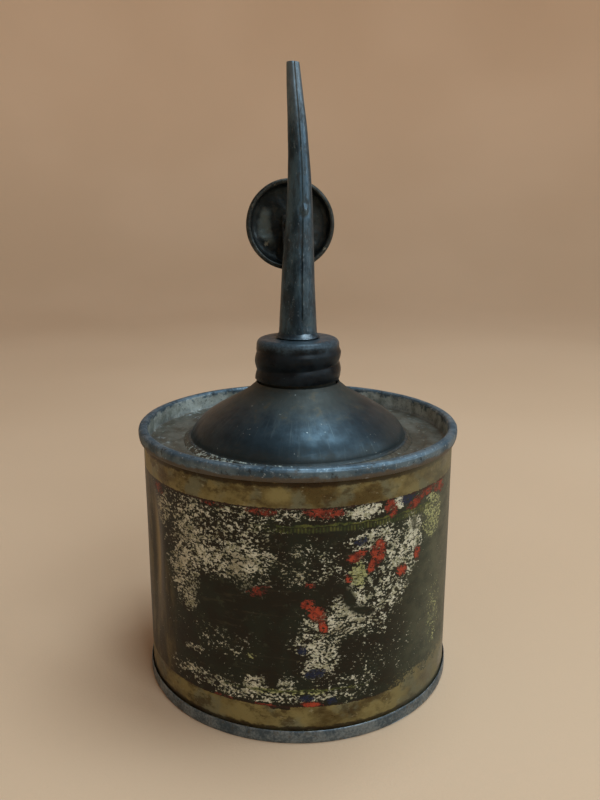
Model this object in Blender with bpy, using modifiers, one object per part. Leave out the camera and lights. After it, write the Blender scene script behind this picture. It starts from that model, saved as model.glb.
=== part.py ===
"""Handy oiler can: a round tinplate can with a domed top, a screw-on spout and a thumb-worked air vent.

Metres, +Z up.  The origin is the centre of the base, on the surface that the can stands on.
The front faces -Y, and the thumb button is behind the spout, at +Y.
"""
import math

import bmesh
import bpy
from mathutils import Matrix, Vector

MM = 0.001
TURN = 2.0 * math.pi

# Fits
GAP = 0.3                    # between pieces that touch, mm
PIN_PLAY = 0.08              # radial running clearance on the lever pin, mm

# Can, mm
BODY_R = 33.2
TIN = 0.35                   # tinplate thickness
CAN_H = 56.5                 # top of the upper double seam
TOP_SEAM_R = 34.15
TOP_SEAM_H = 2.8
BASE_SEAM_R = 33.8
BASE_SEAM_H = 2.8
CHUCK_R = 32.5               # outside of the countersunk wall of either end
PANEL_Z = 52.5               # upper side of the recessed top panel
BASE_PANEL_Z = 3.0           # lower side of the recessed base panel
SIDE_SEAM_W = 4.4
SIDE_SEAM_PROUD = 0.28

# Dome, mm
DOME_R = 22.9
DOME_FLANGE_R = 23.8
DOME_SHOULDER = (17.0, 59.45)
DOME_TOP_Z = 64.9
DOME_HOLE_R = 8.9
PANEL_HOLE_R = 21.5

# Screw thread shared by the neck and the collar, mm
PITCH = 3.9
THREAD_H = 0.4
THREAD_CREST_Z = 67.55       # height of a crest at +X
COLLAR_ROOT_R = 8.8
COLLAR_Z0 = 65.6
COLLAR_SHOULDER_Z = 72.9
COLLAR_TOP_Z = 74.2
COLLAR_TIN = 0.4
NECK_TOP_Z = 70.7
NECK_BORE_R = 7.4
NECK_FLANGE_R = 10.4
NECK_FLANGE_Z = 61.6
WASHER_IN_R = 6.1
WASHER_OUT_R = 8.0
WASHER_T = 2.1

# Spout, mm: height, radius and sideways lean of its centre line
SPOUT_SECTIONS = (
    (73.0, 4.00, 0.00),
    (75.2, 4.03, 0.00),
    (77.0, 3.97, 0.00),
    (81.0, 3.76, 0.00),
    (85.0, 3.57, 0.02),
    (90.0, 3.32, 0.10),
    (97.2, 2.93, 0.30),
    (106.0, 2.46, 0.32),
    (110.0, 2.24, 0.22),
    (117.6, 1.89, -0.18),
    (123.0, 1.62, -0.58),
    (128.8, 1.27, -1.02),
)
SPOUT_TIN = 0.35

# Thumb lever and air vent, mm
PIVOT_Y = 5.35
PIVOT_Z = 77.1
PIN_R = 0.5
HUB_R = 0.95
HUB_X = 1.85                 # half the hub's length
EAR_IN = 2.0
EAR_OUT = 2.45
EAR_R = 0.95
VENT_Y = 7.5
VENT_R = 0.4
VENT_SEAT_H = 0.6
TAIL_Z = PIVOT_Z + 0.2       # centre line of the tail over the vent
TAIL_T = 0.5
TAIL_W = 1.8
HOLDER_TIN = 0.35
PAD_PLAY = 0.25              # above and below the pad in its holder
BUTTON_Z = 97.4
BUTTON_BACK_Y = 11.75
BUTTON_TIN = 0.4
BUTTON_RIM_R = 9.2           # middle of the rolled rim
BUTTON_ROLL_R = 0.55
RIVET_HOLE_R = 0.9
STRAP_W = 3.2
STRAP_T = 0.7

# Return spring, mm
SPRING_Z = 83.5
SPRING_SEAT_Y = 4.0
SPRING_SEAT_TIN = 0.35
SPRING_END_Y = 6.9
SPRING_R = 0.95
SPRING_WIRE_R = 0.17
SPRING_TURNS = 4

BIG_STEPS = 48
MID_STEPS = 32
SMALL_STEPS = 20


# ---------------------------------------------------------------- scene set-up

def clear_scene():
    for old in list(bpy.data.objects):
        bpy.data.objects.remove(old, do_unlink=True)


def make_collection(name):
    collection = bpy.data.collections.new(name)
    bpy.context.scene.collection.children.link(collection)
    return collection


def make_material(name, colour, roughness, metallic):
    material = bpy.data.materials.new(name)
    material.use_nodes = True
    shader = material.node_tree.nodes["Principled BSDF"]
    shader.inputs["Base Color"].default_value = (*colour, 1.0)
    shader.inputs["Roughness"].default_value = roughness
    shader.inputs["Metallic"].default_value = metallic
    return material


clear_scene()
PARTS = make_collection("handy_oiler_can")
CUTTERS = make_collection("cutters")
PAINTED_TIN = make_material("painted_tin", (0.22, 0.19, 0.12), 0.5, 0.4)
SEAM_STEEL = make_material("seam_steel", (0.20, 0.23, 0.25), 0.4, 0.8)
BLUE_STEEL = make_material("blue_steel", (0.07, 0.09, 0.10), 0.35, 0.7)
BLACK_STEEL = make_material("black_steel", (0.03, 0.035, 0.04), 0.4, 0.6)
SPOUT_STEEL = make_material("spout_steel", (0.13, 0.16, 0.18), 0.35, 0.8)
SOLDER = make_material("solder", (0.30, 0.30, 0.29), 0.45, 0.8)
SPRING_STEEL = make_material("spring_steel", (0.25, 0.25, 0.25), 0.35, 0.9)
CORK = make_material("cork", (0.35, 0.22, 0.12), 0.9, 0.0)
LEATHER = make_material("leather", (0.16, 0.09, 0.05), 0.8, 0.0)


# ---------------------------------------------------------------- shape helpers

def add_object(name, mesh, material, collection=PARTS):
    item = bpy.data.objects.new(name, mesh)
    collection.objects.link(item)
    if material:
        mesh.materials.append(material)
    return item


def finish_mesh(name, bm, material, collection=PARTS):
    bmesh.ops.recalc_face_normals(bm, faces=bm.faces)
    mesh = bpy.data.meshes.new(name)
    bm.to_mesh(mesh)
    bm.free()
    mesh.shade_smooth()
    mesh.set_sharp_from_angle(angle=math.radians(35))
    return add_object(name, mesh, material, collection)


def turned(name, outline, material, steps, closed=False, collection=PARTS):
    """Turn an outline of (radius, height) points, in mm, about Z."""
    bm = bmesh.new()
    verts = [bm.verts.new((r * MM, 0.0, z * MM)) for r, z in outline]
    for first, second in zip(verts, verts[1:]):
        bm.edges.new((first, second))
    if closed:
        bm.edges.new((verts[-1], verts[0]))
    mesh = bpy.data.meshes.new(name)
    bm.to_mesh(mesh)
    bm.free()
    item = add_object(name, mesh, material, collection)
    screw = item.modifiers.new("Turn", 'SCREW')
    screw.axis = 'Z'
    screw.angle = TURN
    screw.steps = steps
    screw.render_steps = steps
    screw.use_merge_vertices = True
    screw.merge_threshold = 0.00001
    return item


def bezier(start, handle_a, handle_b, end, count):
    """Points along a cubic curve, without its first one."""
    points = []
    for step in range(1, count + 1):
        t = step / count
        weights = ((1 - t) ** 3, 3 * t * (1 - t) ** 2, 3 * t * t * (1 - t), t ** 3)
        corners = (start, handle_a, handle_b, end)
        points.append(tuple(sum(w * c[k] for w, c in zip(weights, corners)) for k in (0, 1)))
    return points


def ring_loft(name, rings, material, collection=PARTS):
    """Join rings of equal length into one closed tube-shaped solid, last ring to first."""
    bm = bmesh.new()
    loops = [[bm.verts.new(Vector(point) * MM) for point in ring] for ring in rings]
    steps = len(rings[0])
    for lower, upper in zip(loops, loops[1:] + loops[:1]):
        for k in range(steps):
            after = (k + 1) % steps
            bm.faces.new((lower[k], lower[after], upper[after], upper[k]))
    return finish_mesh(name, bm, material, collection)


def block(name, low, high, material, collection=PARTS):
    """A box between two corners, in mm."""
    size = [(b - a) * MM for a, b in zip(low, high)]
    middle = [(a + b) * 0.5 * MM for a, b in zip(low, high)]
    bm = bmesh.new()
    place = Matrix.Translation(middle) @ Matrix.Diagonal((*size, 1.0))
    bmesh.ops.create_cube(bm, size=1.0, matrix=place)
    return finish_mesh(name, bm, material, collection)


def rod(name, radius, start, end, material, steps=SMALL_STEPS, collection=PARTS):
    """A round bar between two points, in mm."""
    span = Vector(end) - Vector(start)
    middle = (Vector(start) + Vector(end)) * 0.5 * MM
    turn = span.to_track_quat('Z', 'Y').to_matrix().to_4x4()
    bm = bmesh.new()
    bmesh.ops.create_cone(bm, cap_ends=True, segments=steps, radius1=radius * MM,
                          radius2=radius * MM, depth=span.length * MM,
                          matrix=Matrix.Translation(middle) @ turn)
    return finish_mesh(name, bm, material, collection)


def strip(name, path, thickness, width, material, collection=PARTS):
    """A flat strip of metal bent along a path of (y, z) points, in mm, and centred on x = 0."""
    left = []
    right = []
    for k, (y, z) in enumerate(path):
        before = path[max(k - 1, 0)]
        after = path[min(k + 1, len(path) - 1)]
        along = Vector((after[0] - before[0], after[1] - before[1])).normalized()
        left.append((y - along.y * thickness / 2, z + along.x * thickness / 2))
        right.append((y + along.y * thickness / 2, z - along.x * thickness / 2))
    bm = bmesh.new()
    outline = left + right[::-1]
    face = bm.faces.new([bm.verts.new((-width / 2 * MM, y * MM, z * MM)) for y, z in outline])
    swept = bmesh.ops.extrude_face_region(bm, geom=[face])
    verts = [item for item in swept["geom"] if isinstance(item, bmesh.types.BMVert)]
    bmesh.ops.translate(bm, verts=verts, vec=(width * MM, 0.0, 0.0))
    return finish_mesh(name, bm, material, collection)


def combine(item, tool, operation):
    tool.hide_render = True
    tool.display_type = 'WIRE'
    boolean = item.modifiers.new(operation.title(), 'BOOLEAN')
    boolean.operation = operation
    boolean.solver = 'EXACT'
    boolean.object = tool


def face_back(item, y, z):
    """Lay a piece turned about Z on its side: its +Z then points to the front, -Y."""
    item.rotation_euler = (math.pi / 2, 0.0, 0.0)
    item.location = (0.0, y * MM, z * MM)


# ---------------------------------------------------------------- can

def make_can_body():
    low = 0.9
    high = CAN_H - 0.9
    inside = BODY_R - TIN
    outline = [(BODY_R, high), (BODY_R, low), (inside, low), (inside, high)]
    body = turned("can_body", outline, PAINTED_TIN, BIG_STEPS, closed=True)
    seam = block("side_seam_strip",
                 (-SIDE_SEAM_W / 2, BODY_R - 0.6, BASE_SEAM_H + 0.6),
                 (SIDE_SEAM_W / 2, BODY_R + SIDE_SEAM_PROUD, CAN_H - TOP_SEAM_H - 0.6),
                 None, CUTTERS)
    combine(body, seam, 'UNION')


def make_top_end():
    hook = BODY_R + GAP
    low = CAN_H - TOP_SEAM_H
    inner = CHUCK_R - TIN
    crown = [(32.9, CAN_H), (33.7, CAN_H - 0.12), (34.05, CAN_H - 0.5), (TOP_SEAM_R, CAN_H - 1.0)]
    hook_wall = [(TOP_SEAM_R - 0.05, low + 0.3), (TOP_SEAM_R - 0.3, low), (hook, low + 0.05),
                 (hook, CAN_H - 0.75), (hook - 0.2, CAN_H - 0.6)]
    chuck_wall = [(CHUCK_R + 0.2, CAN_H - 0.6), (CHUCK_R, CAN_H - 0.8), (CHUCK_R, PANEL_Z - 0.1),
                  (CHUCK_R - 0.2, PANEL_Z - TIN)]
    panel = [(PANEL_HOLE_R, PANEL_Z - TIN), (PANEL_HOLE_R, PANEL_Z), (inner - 0.45, PANEL_Z),
             (inner - 0.1, PANEL_Z + 0.2), (inner, PANEL_Z + 0.6)]
    rise = [(inner + 0.1, CAN_H - 0.5), (inner + 0.35, CAN_H - 0.1)]
    outline = crown + hook_wall + chuck_wall + panel + rise
    turned("top_end", outline, SEAM_STEEL, BIG_STEPS, closed=True)


def make_bottom_end():
    hook = BODY_R + GAP
    upper = BASE_PANEL_Z + TIN
    inner = CHUCK_R - TIN
    panel_top = [(0.0, upper + 0.4), (24.0, upper + 0.4), (25.0, upper), (CHUCK_R - 0.4, upper)]
    chuck_wall = [(CHUCK_R, BASE_PANEL_Z), (CHUCK_R, 0.75), (CHUCK_R + 0.2, 0.6), (hook - 0.2, 0.6)]
    hook_wall = [(hook, 0.8), (hook, BASE_SEAM_H - 0.1), (hook + 0.1, BASE_SEAM_H),
                 (BASE_SEAM_R, BASE_SEAM_H - 0.3), (BASE_SEAM_R, 0.5), (BASE_SEAM_R - 0.2, 0.12)]
    foot = [(33.2, 0.0), (32.5, 0.0), (inner, 0.4)]
    underside = [(inner, BASE_PANEL_Z - 0.4), (inner - 0.35, BASE_PANEL_Z), (25.15, BASE_PANEL_Z),
                 (24.15, BASE_PANEL_Z + 0.4), (0.0, BASE_PANEL_Z + 0.4)]
    outline = panel_top + chuck_wall + hook_wall + foot + underside
    turned("bottom_end", outline, SEAM_STEEL, BIG_STEPS)


def make_dome():
    """An open turned surface, thickened inwards; its profile is a shoulder and a hollow to the neck."""
    flange_z = PANEL_Z + GAP + TIN
    foot = (DOME_R, flange_z)
    top = (DOME_HOLE_R, DOME_TOP_Z)
    profile = [(DOME_FLANGE_R, flange_z), foot]
    profile += bezier(foot, (22.9, 55.4), (20.6, 57.4), DOME_SHOULDER, 6)
    profile += bezier(DOME_SHOULDER, (13.6, 61.35), (9.6, 63.3), top, 6)
    dome = turned("dome", profile[::-1], BLUE_STEEL, BIG_STEPS)
    shell = dome.modifiers.new("Thickness", 'SOLIDIFY')
    shell.thickness = TIN * MM
    shell.offset = -1.0


def make_dome_solder():
    inner = DOME_FLANGE_R + GAP
    floor = PANEL_Z + GAP
    outline = [(inner, floor + 0.55), (inner + 0.6, floor + 0.3), (inner + 1.0, floor), (inner, floor)]
    turned("dome_solder", outline, SOLDER, BIG_STEPS, closed=True)


# ---------------------------------------------------------------- screw thread

def thread_rise(angle, z):
    """Height of the rolled thread, 0 at its root and THREAD_H at its crest.  It is right-handed."""
    phase = (z - THREAD_CREST_Z) / PITCH - angle / TURN
    return THREAD_H * (0.5 + 0.5 * math.cos(TURN * phase)) ** 0.8


def fade(z, start, end):
    """1 below start, 0 above end, and a smooth step between them."""
    t = min(max((z - start) / (end - start), 0.0), 1.0)
    return 1.0 - t * t * (3.0 - 2.0 * t)


def round_ring(radius, z, steps=MID_STEPS, share=0.0):
    """A level ring; share is how much of the thread it carries."""
    ring = []
    for k in range(steps):
        angle = TURN * k / steps
        r = radius + share * thread_rise(angle, z)
        ring.append((r * math.cos(angle), r * math.sin(angle), z))
    return ring


def heights(low, high, pitch):
    count = max(1, round((high - low) / pitch))
    return [low + (high - low) * k / count for k in range(count + 1)]


def make_screw_neck():
    outer_r = COLLAR_ROOT_R - COLLAR_TIN - GAP
    low = COLLAR_Z0 + 0.3
    flange_top = NECK_FLANGE_Z + 0.4
    rings = [round_ring(NECK_BORE_R, NECK_FLANGE_Z), round_ring(NECK_FLANGE_R, NECK_FLANGE_Z),
             round_ring(NECK_FLANGE_R, flange_top), round_ring(8.2, flange_top + 1.2),
             round_ring(outer_r, low - 0.7)]
    for z in heights(low, NECK_TOP_Z - 0.25, 0.55):
        share = fade(z, NECK_TOP_Z - 1.2, NECK_TOP_Z - 0.3)
        rings.append(round_ring(outer_r, z, share=share))
    rings.append(round_ring(outer_r - 0.15, NECK_TOP_Z))
    rings.append(round_ring(NECK_BORE_R, NECK_TOP_Z))
    ring_loft("screw_neck", rings, BLUE_STEEL)


def make_sealing_washer():
    low = NECK_TOP_Z + GAP
    high = low + WASHER_T
    outline = [(WASHER_IN_R, high), (WASHER_OUT_R - 0.2, high), (WASHER_OUT_R, high - 0.2),
               (WASHER_OUT_R, low), (WASHER_IN_R, low)]
    turned("sealing_washer", outline, CORK, MID_STEPS, closed=True)


def make_spout_collar():
    """A pressed cap with a rolled thread, a rounded shoulder and a hole for the spout."""
    thread_end = COLLAR_SHOULDER_Z - 0.4
    radius = COLLAR_TOP_Z - COLLAR_SHOULDER_Z
    centre = COLLAR_ROOT_R - radius
    hole = SPOUT_SECTIONS[0][1] + GAP
    wall = heights(COLLAR_Z0, COLLAR_SHOULDER_Z, 0.6)
    turn = [math.radians(angle) for angle in (30, 60, 90)]
    rings = []
    for z in wall:
        rings.append(round_ring(COLLAR_ROOT_R, z, share=fade(z, thread_end - 1.3, thread_end)))
    for angle in turn:
        rings.append(round_ring(centre + radius * math.cos(angle),
                                COLLAR_SHOULDER_Z + radius * math.sin(angle)))
    rings.append(round_ring(hole, COLLAR_TOP_Z))
    rings.append(round_ring(hole, COLLAR_TOP_Z - COLLAR_TIN))
    for angle in turn[::-1]:
        rings.append(round_ring(centre + (radius - COLLAR_TIN) * math.cos(angle),
                                COLLAR_SHOULDER_Z + (radius - COLLAR_TIN) * math.sin(angle)))
    for z in wall[::-1]:
        share = fade(z, thread_end - 1.3, thread_end)
        rings.append(round_ring(COLLAR_ROOT_R - COLLAR_TIN, z, share=share))
    collar = ring_loft("spout_collar", rings, BLACK_STEEL)
    drill = rod("vent_drill", VENT_R, (0, VENT_Y, COLLAR_TOP_Z - 1.5), (0, VENT_Y, COLLAR_TOP_Z + 1.0),
                None, collection=CUTTERS)
    combine(collar, drill, 'DIFFERENCE')


# ---------------------------------------------------------------- spout

def spout_ring(z, radius, lean):
    ring = []
    for k in range(SMALL_STEPS):
        angle = TURN * k / SMALL_STEPS
        ring.append((lean + radius * math.cos(angle), radius * math.sin(angle), z))
    return ring


def make_spout_tube():
    outside = [spout_ring(z, r, lean) for z, r, lean in SPOUT_SECTIONS]
    inside = [spout_ring(z, r - SPOUT_TIN, lean) for z, r, lean in SPOUT_SECTIONS]
    ring_loft("spout_tube", outside + inside[::-1], SPOUT_STEEL)


def make_spout_solder():
    inner = SPOUT_SECTIONS[0][1] + GAP + 0.02
    low = COLLAR_TOP_Z + GAP
    outline = [(inner, low + 1.0), (inner + 0.15, low + 0.6), (inner + 0.45, low), (inner, low)]
    turned("spout_solder", outline, SOLDER, MID_STEPS, closed=True)


# ---------------------------------------------------------------- thumb lever

def make_lever_bracket():
    base_z = COLLAR_TOP_Z + GAP
    back = PIVOT_Y + 0.75
    bracket = block("lever_bracket", (-EAR_OUT, PIVOT_Y - 0.25, base_z), (EAR_OUT, back - 0.1, base_z + 0.4),
                    BLACK_STEEL)
    for side in (-1, 1):
        inner, outer = sorted((side * EAR_IN, side * EAR_OUT))
        ear = block(f"ear_{side:+d}", (inner, PIVOT_Y - 0.6, base_z + 0.05), (outer, back, PIVOT_Z),
                    None, CUTTERS)
        combine(bracket, ear, 'UNION')
        crown = rod(f"ear_crown_{side:+d}", EAR_R, (inner, PIVOT_Y, PIVOT_Z), (outer, PIVOT_Y, PIVOT_Z),
                    None, collection=CUTTERS)
        combine(bracket, crown, 'UNION')
    bore = rod("bracket_bore", PIN_R + PIN_PLAY, (-4, PIVOT_Y, PIVOT_Z), (4, PIVOT_Y, PIVOT_Z),
               None, collection=CUTTERS)
    combine(bracket, bore, 'DIFFERENCE')


def make_lever_pin():
    """A pin with a flattened head outside each ear."""
    head_in = EAR_OUT + 0.1
    head_out = head_in + 0.3
    head_r = PIN_R + 0.3
    outline = [(0.0, head_out), (head_r - 0.1, head_out), (head_r, head_out - 0.1), (head_r, head_in),
               (PIN_R, head_in), (PIN_R, -head_in), (head_r, -head_in), (head_r, 0.1 - head_out),
               (head_r - 0.1, -head_out), (0.0, -head_out)]
    pin = turned("lever_pin", outline, SPRING_STEEL, SMALL_STEPS)
    pin.rotation_euler = (0.0, math.pi / 2, 0.0)
    pin.location = (0.0, PIVOT_Y * MM, PIVOT_Z * MM)


def make_thumb_lever(pivot):
    """A hub on the pin, a strap up behind the spout, and a short tail over the vent."""
    strap_path = [(PIVOT_Y + 0.3, PIVOT_Z + 0.3), (6.4, 78.6), (7.1, 80.6), (7.6, 84.0), (7.85, 88.6),
                  (8.5, 90.6), (10.3, 95.0), (10.7, 96.4), (10.7, 99.4)]
    tail_path = [(PIVOT_Y + 0.2, PIVOT_Z + 0.1), (PIVOT_Y + 0.9, TAIL_Z), (VENT_Y + 0.8, TAIL_Z)]
    lever = rod("thumb_lever", HUB_R, (-HUB_X, PIVOT_Y, PIVOT_Z), (HUB_X, PIVOT_Y, PIVOT_Z), BLACK_STEEL)
    strap = strip("lever_strap", strap_path, STRAP_T, STRAP_W, None, CUTTERS)
    combine(lever, strap, 'UNION')
    tail = strip("lever_tail", tail_path, TAIL_T, TAIL_W, None, CUTTERS)
    combine(lever, tail, 'UNION')
    bore = rod("lever_bore", PIN_R + PIN_PLAY, (-4, PIVOT_Y, PIVOT_Z), (4, PIVOT_Y, PIVOT_Z),
               None, collection=CUTTERS)
    combine(lever, bore, 'DIFFERENCE')
    rivet_hole = rod("rivet_hole", RIVET_HOLE_R, (0, 8.0, BUTTON_Z), (0, 11.5, BUTTON_Z), None, collection=CUTTERS)
    combine(lever, rivet_hole, 'DIFFERENCE')
    ride_on(pivot, lever)


def make_thumb_button(pivot):
    """A dished disc with a rolled rim, open to the front."""
    reach = BUTTON_RIM_R
    dish = [(RIVET_HOLE_R, BUTTON_TIN), (reach - 2.5, BUTTON_TIN), (reach - 1.3, 0.85),
            (reach - 0.75, 1.6), (reach - 0.55, 2.4)]
    rim = []
    for angle in (150, 110, 70, 30, -10, -50, -90):
        spread = math.radians(angle)
        rim.append((reach + BUTTON_ROLL_R * math.cos(spread), 2.55 + BUTTON_ROLL_R * math.sin(spread)))
    back = [(reach - 0.3, 1.5), (reach - 0.85, 0.6), (reach - 1.5, 0.12), (reach - 2.5, 0.0),
            (RIVET_HOLE_R, 0.0)]
    button = turned("thumb_button", dish + rim + back, BLACK_STEEL, MID_STEPS, closed=True)
    face_back(button, BUTTON_BACK_Y, BUTTON_Z)
    ride_on(pivot, button)


def make_button_rivet(pivot):
    """Heights are measured forwards from the button's back."""
    outline = [(0.0, 2.2), (0.8, 2.15), (1.25, 1.85), (1.25, 1.75), (0.6, 1.75),
               (0.6, -0.3), (1.5, -0.3), (1.5, -0.4), (1.0, -0.75), (0.0, -0.85)]
    rivet = turned("button_rivet", outline, SPRING_STEEL, SMALL_STEPS)
    face_back(rivet, BUTTON_BACK_Y, BUTTON_Z)
    ride_on(pivot, rivet)


def make_pad_holder(pivot):
    top = TAIL_Z - TAIL_T / 2 - GAP
    outline = [(0.0, top), (0.85, top), (1.0, top - 0.15), (1.0, top - 1.0), (0.85, top - 1.0),
               (0.85, top - HOLDER_TIN), (0.0, top - HOLDER_TIN)]
    holder = turned("pad_holder", outline, SPRING_STEEL, SMALL_STEPS)
    holder.location = (0.0, VENT_Y * MM, 0.0)
    ride_on(pivot, holder)


def make_valve_pad(pivot):
    seat_top = COLLAR_TOP_Z + GAP + VENT_SEAT_H
    low = seat_top + PAD_PLAY
    high = TAIL_Z - TAIL_T / 2 - GAP - HOLDER_TIN - PAD_PLAY
    outline = [(0.0, high), (0.6, high), (0.6, low), (0.0, low)]
    pad = turned("valve_pad", outline, LEATHER, SMALL_STEPS)
    pad.location = (0.0, VENT_Y * MM, 0.0)
    ride_on(pivot, pad)


def make_vent_seat():
    low = COLLAR_TOP_Z + GAP
    high = low + VENT_SEAT_H
    outline = [(0.5, high), (0.62, high), (0.75, low + 0.3), (0.75, low), (VENT_R, low), (VENT_R, high)]
    seat = turned("vent_seat", outline, SOLDER, SMALL_STEPS, closed=True)
    seat.location = (0.0, VENT_Y * MM, 0.0)


def make_spring_seat():
    """A disc and a stub on the back of the spout; they locate the spring."""
    outline = [(0.0, 0.0), (1.4, 0.0), (1.4, -SPRING_SEAT_TIN), (0.55, -SPRING_SEAT_TIN),
               (0.55, -1.2), (0.0, -1.2)]
    seat = turned("spring_seat", outline, SPOUT_STEEL, SMALL_STEPS)
    face_back(seat, SPRING_SEAT_Y, SPRING_Z)


def make_return_spring():
    """A coil along Y, between its seat on the spout and the strap of the lever."""
    start = SPRING_SEAT_Y + SPRING_SEAT_TIN + SPRING_WIRE_R + 0.1
    end = SPRING_END_Y - SPRING_WIRE_R
    per_turn = 12
    curve = bpy.data.curves.new("return_spring", 'CURVE')
    curve.dimensions = '3D'
    curve.bevel_depth = SPRING_WIRE_R * MM
    curve.bevel_resolution = 2
    curve.use_fill_caps = True
    spline = curve.splines.new('POLY')
    count = SPRING_TURNS * per_turn + 1
    spline.points.add(count - 1)
    for k, point in enumerate(spline.points):
        angle = TURN * k / per_turn
        y = start + (end - start) * k / (count - 1)
        height = SPRING_Z + SPRING_R * math.sin(angle)
        point.co = (SPRING_R * math.cos(angle) * MM, y * MM, height * MM, 1.0)
    curve.materials.append(SPRING_STEEL)
    PARTS.objects.link(bpy.data.objects.new("return_spring", curve))


def make_pivot():
    pivot = bpy.data.objects.new("lever_pivot", None)
    pivot.location = (0.0, PIVOT_Y * MM, PIVOT_Z * MM)
    PARTS.objects.link(pivot)
    return pivot


def ride_on(pivot, item):
    """Parent a piece to the pivot without moving it."""
    item.parent = pivot
    item.matrix_parent_inverse = Matrix.Translation(pivot.location).inverted()


def build():
    make_can_body()
    make_top_end()
    make_bottom_end()
    make_dome()
    make_dome_solder()
    make_screw_neck()
    make_sealing_washer()
    make_spout_collar()
    make_spout_tube()
    make_spout_solder()
    make_lever_bracket()
    make_lever_pin()
    make_vent_seat()
    make_spring_seat()
    make_return_spring()
    pivot = make_pivot()
    make_thumb_lever(pivot)
    make_thumb_button(pivot)
    make_button_rivet(pivot)
    make_pad_holder(pivot)
    make_valve_pad(pivot)


build()
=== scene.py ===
"""Looks of the handy oiler can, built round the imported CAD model.

Metres, +Z up.  The can stands on the floor at z = 0, with its front at -Y and the thumb button at +Y.
Outlines and sections below are in millimetres, as in the design.
"""

import math

import bmesh
import bpy
import numpy as np
from mathutils import Matrix, Vector, noise


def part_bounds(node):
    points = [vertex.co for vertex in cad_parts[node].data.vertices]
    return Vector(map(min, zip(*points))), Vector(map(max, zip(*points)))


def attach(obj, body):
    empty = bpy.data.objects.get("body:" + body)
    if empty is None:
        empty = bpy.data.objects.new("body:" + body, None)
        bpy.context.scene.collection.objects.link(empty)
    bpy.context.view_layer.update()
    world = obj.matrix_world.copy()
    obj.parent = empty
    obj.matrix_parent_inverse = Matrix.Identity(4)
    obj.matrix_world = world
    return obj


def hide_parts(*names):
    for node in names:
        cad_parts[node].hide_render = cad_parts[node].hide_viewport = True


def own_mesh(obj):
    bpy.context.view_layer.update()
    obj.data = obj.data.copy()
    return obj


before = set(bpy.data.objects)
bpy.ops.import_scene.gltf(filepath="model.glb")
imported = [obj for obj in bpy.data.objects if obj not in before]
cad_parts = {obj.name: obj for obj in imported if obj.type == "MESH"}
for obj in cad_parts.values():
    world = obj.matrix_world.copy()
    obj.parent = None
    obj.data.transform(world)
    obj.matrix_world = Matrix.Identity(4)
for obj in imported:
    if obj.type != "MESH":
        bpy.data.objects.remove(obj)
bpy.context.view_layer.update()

MM = 0.001
TURN = 2.0 * math.pi


def part_box(node):
    """A CAD node's lowest and highest corners, in mm."""
    low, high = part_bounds(node)
    return low / MM, high / MM


# Sizes read from the CAD parts, mm
BODY_LOW, BODY_HIGH = part_box("can_body")
TOP_LOW, TOP_HIGH = part_box("top_end")
BASE_HIGH = part_box("bottom_end")[1]
DOME_LOW, DOME_HIGH = part_box("dome")
COLLAR_LOW, COLLAR_HIGH = part_box("spout_collar")
NECK_LOW, NECK_HIGH = part_box("screw_neck")
SPOUT_LOW, SPOUT_HIGH = part_box("spout_tube")
BUTTON_LOW, BUTTON_HIGH = part_box("thumb_button")
SEAT_LOW, SEAT_HIGH = part_box("vent_seat")

BODY_R = BODY_HIGH.x                     # printed wall
CAN_H = TOP_HIGH.z                       # top of the upper seam
TOP_R = TOP_HIGH.x                       # upper seam
BASE_R = BASE_HIGH.x                     # lower seam
TIN = 0.35
PANEL_Z = TOP_LOW.z + TIN                # flat of the upper end
HOOK_R = BODY_R + 0.3                    # inside of both seams' outer hooks
CHUCK_R = 32.5                           # countersunk wall of both ends
VIEW_ANGLE = math.radians(-10.0)         # where the photographed side is, from the front towards +X


# ================================================================ shape helpers

def new_piece(name, mesh, body, node, material):
    """A piece that rides on a body and takes the place of one CAD node."""
    piece = bpy.data.objects.new(name, mesh)
    bpy.context.scene.collection.objects.link(piece)
    mesh.materials.clear()
    mesh.materials.append(material)
    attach(piece, body)
    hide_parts(node)
    return piece


def finish_mesh(name, bm, sharp=40.0):
    bmesh.ops.recalc_face_normals(bm, faces=bm.faces)
    mesh = bpy.data.meshes.new(name)
    bm.to_mesh(mesh)
    bm.free()
    mesh.shade_smooth()
    mesh.set_sharp_from_angle(angle=math.radians(sharp))
    return mesh


def ring_mesh(name, rings, closed=True, sharp=40.0):
    """Join rings of points, in mm, into a tube; a ring of one point is a pole."""
    bm = bmesh.new()
    loops = [[bm.verts.new(Vector(point) * MM) for point in ring] for ring in rings]
    pairs = list(zip(loops, loops[1:]))
    if closed:
        pairs.append((loops[-1], loops[0]))
    for first, second in pairs:
        steps = max(len(first), len(second))
        if steps == 1:
            continue
        for k in range(steps):
            after = (k + 1) % steps
            corners = [first[k % len(first)], first[after % len(first)],
                       second[after % len(second)], second[k % len(second)]]
            unique = []
            for corner in corners:
                if corner not in unique:
                    unique.append(corner)
            if len(unique) > 2:
                bm.faces.new(unique)
    return finish_mesh(name, bm, sharp)


def rounded(outline, radius, closed=True, steps=4):
    """Round every corner of an outline by about radius, less where its sides are short."""
    points = [Vector(p) for p in outline]
    count = len(points)
    result = []
    for k, corner in enumerate(points):
        if not closed and k in (0, count - 1):
            result.append(tuple(corner))
            continue
        before = points[k - 1]
        after = points[(k + 1) % count]
        back = before - corner
        ahead = after - corner
        reach = min(radius, back.length * 0.45, ahead.length * 0.45)
        start = corner + back.normalized() * reach
        end = corner + ahead.normalized() * reach
        for step in range(steps + 1):
            t = step / steps
            spot = start * (1 - t) ** 2 + corner * 2 * t * (1 - t) + end * t * t
            result.append(tuple(spot))
    return result


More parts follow.
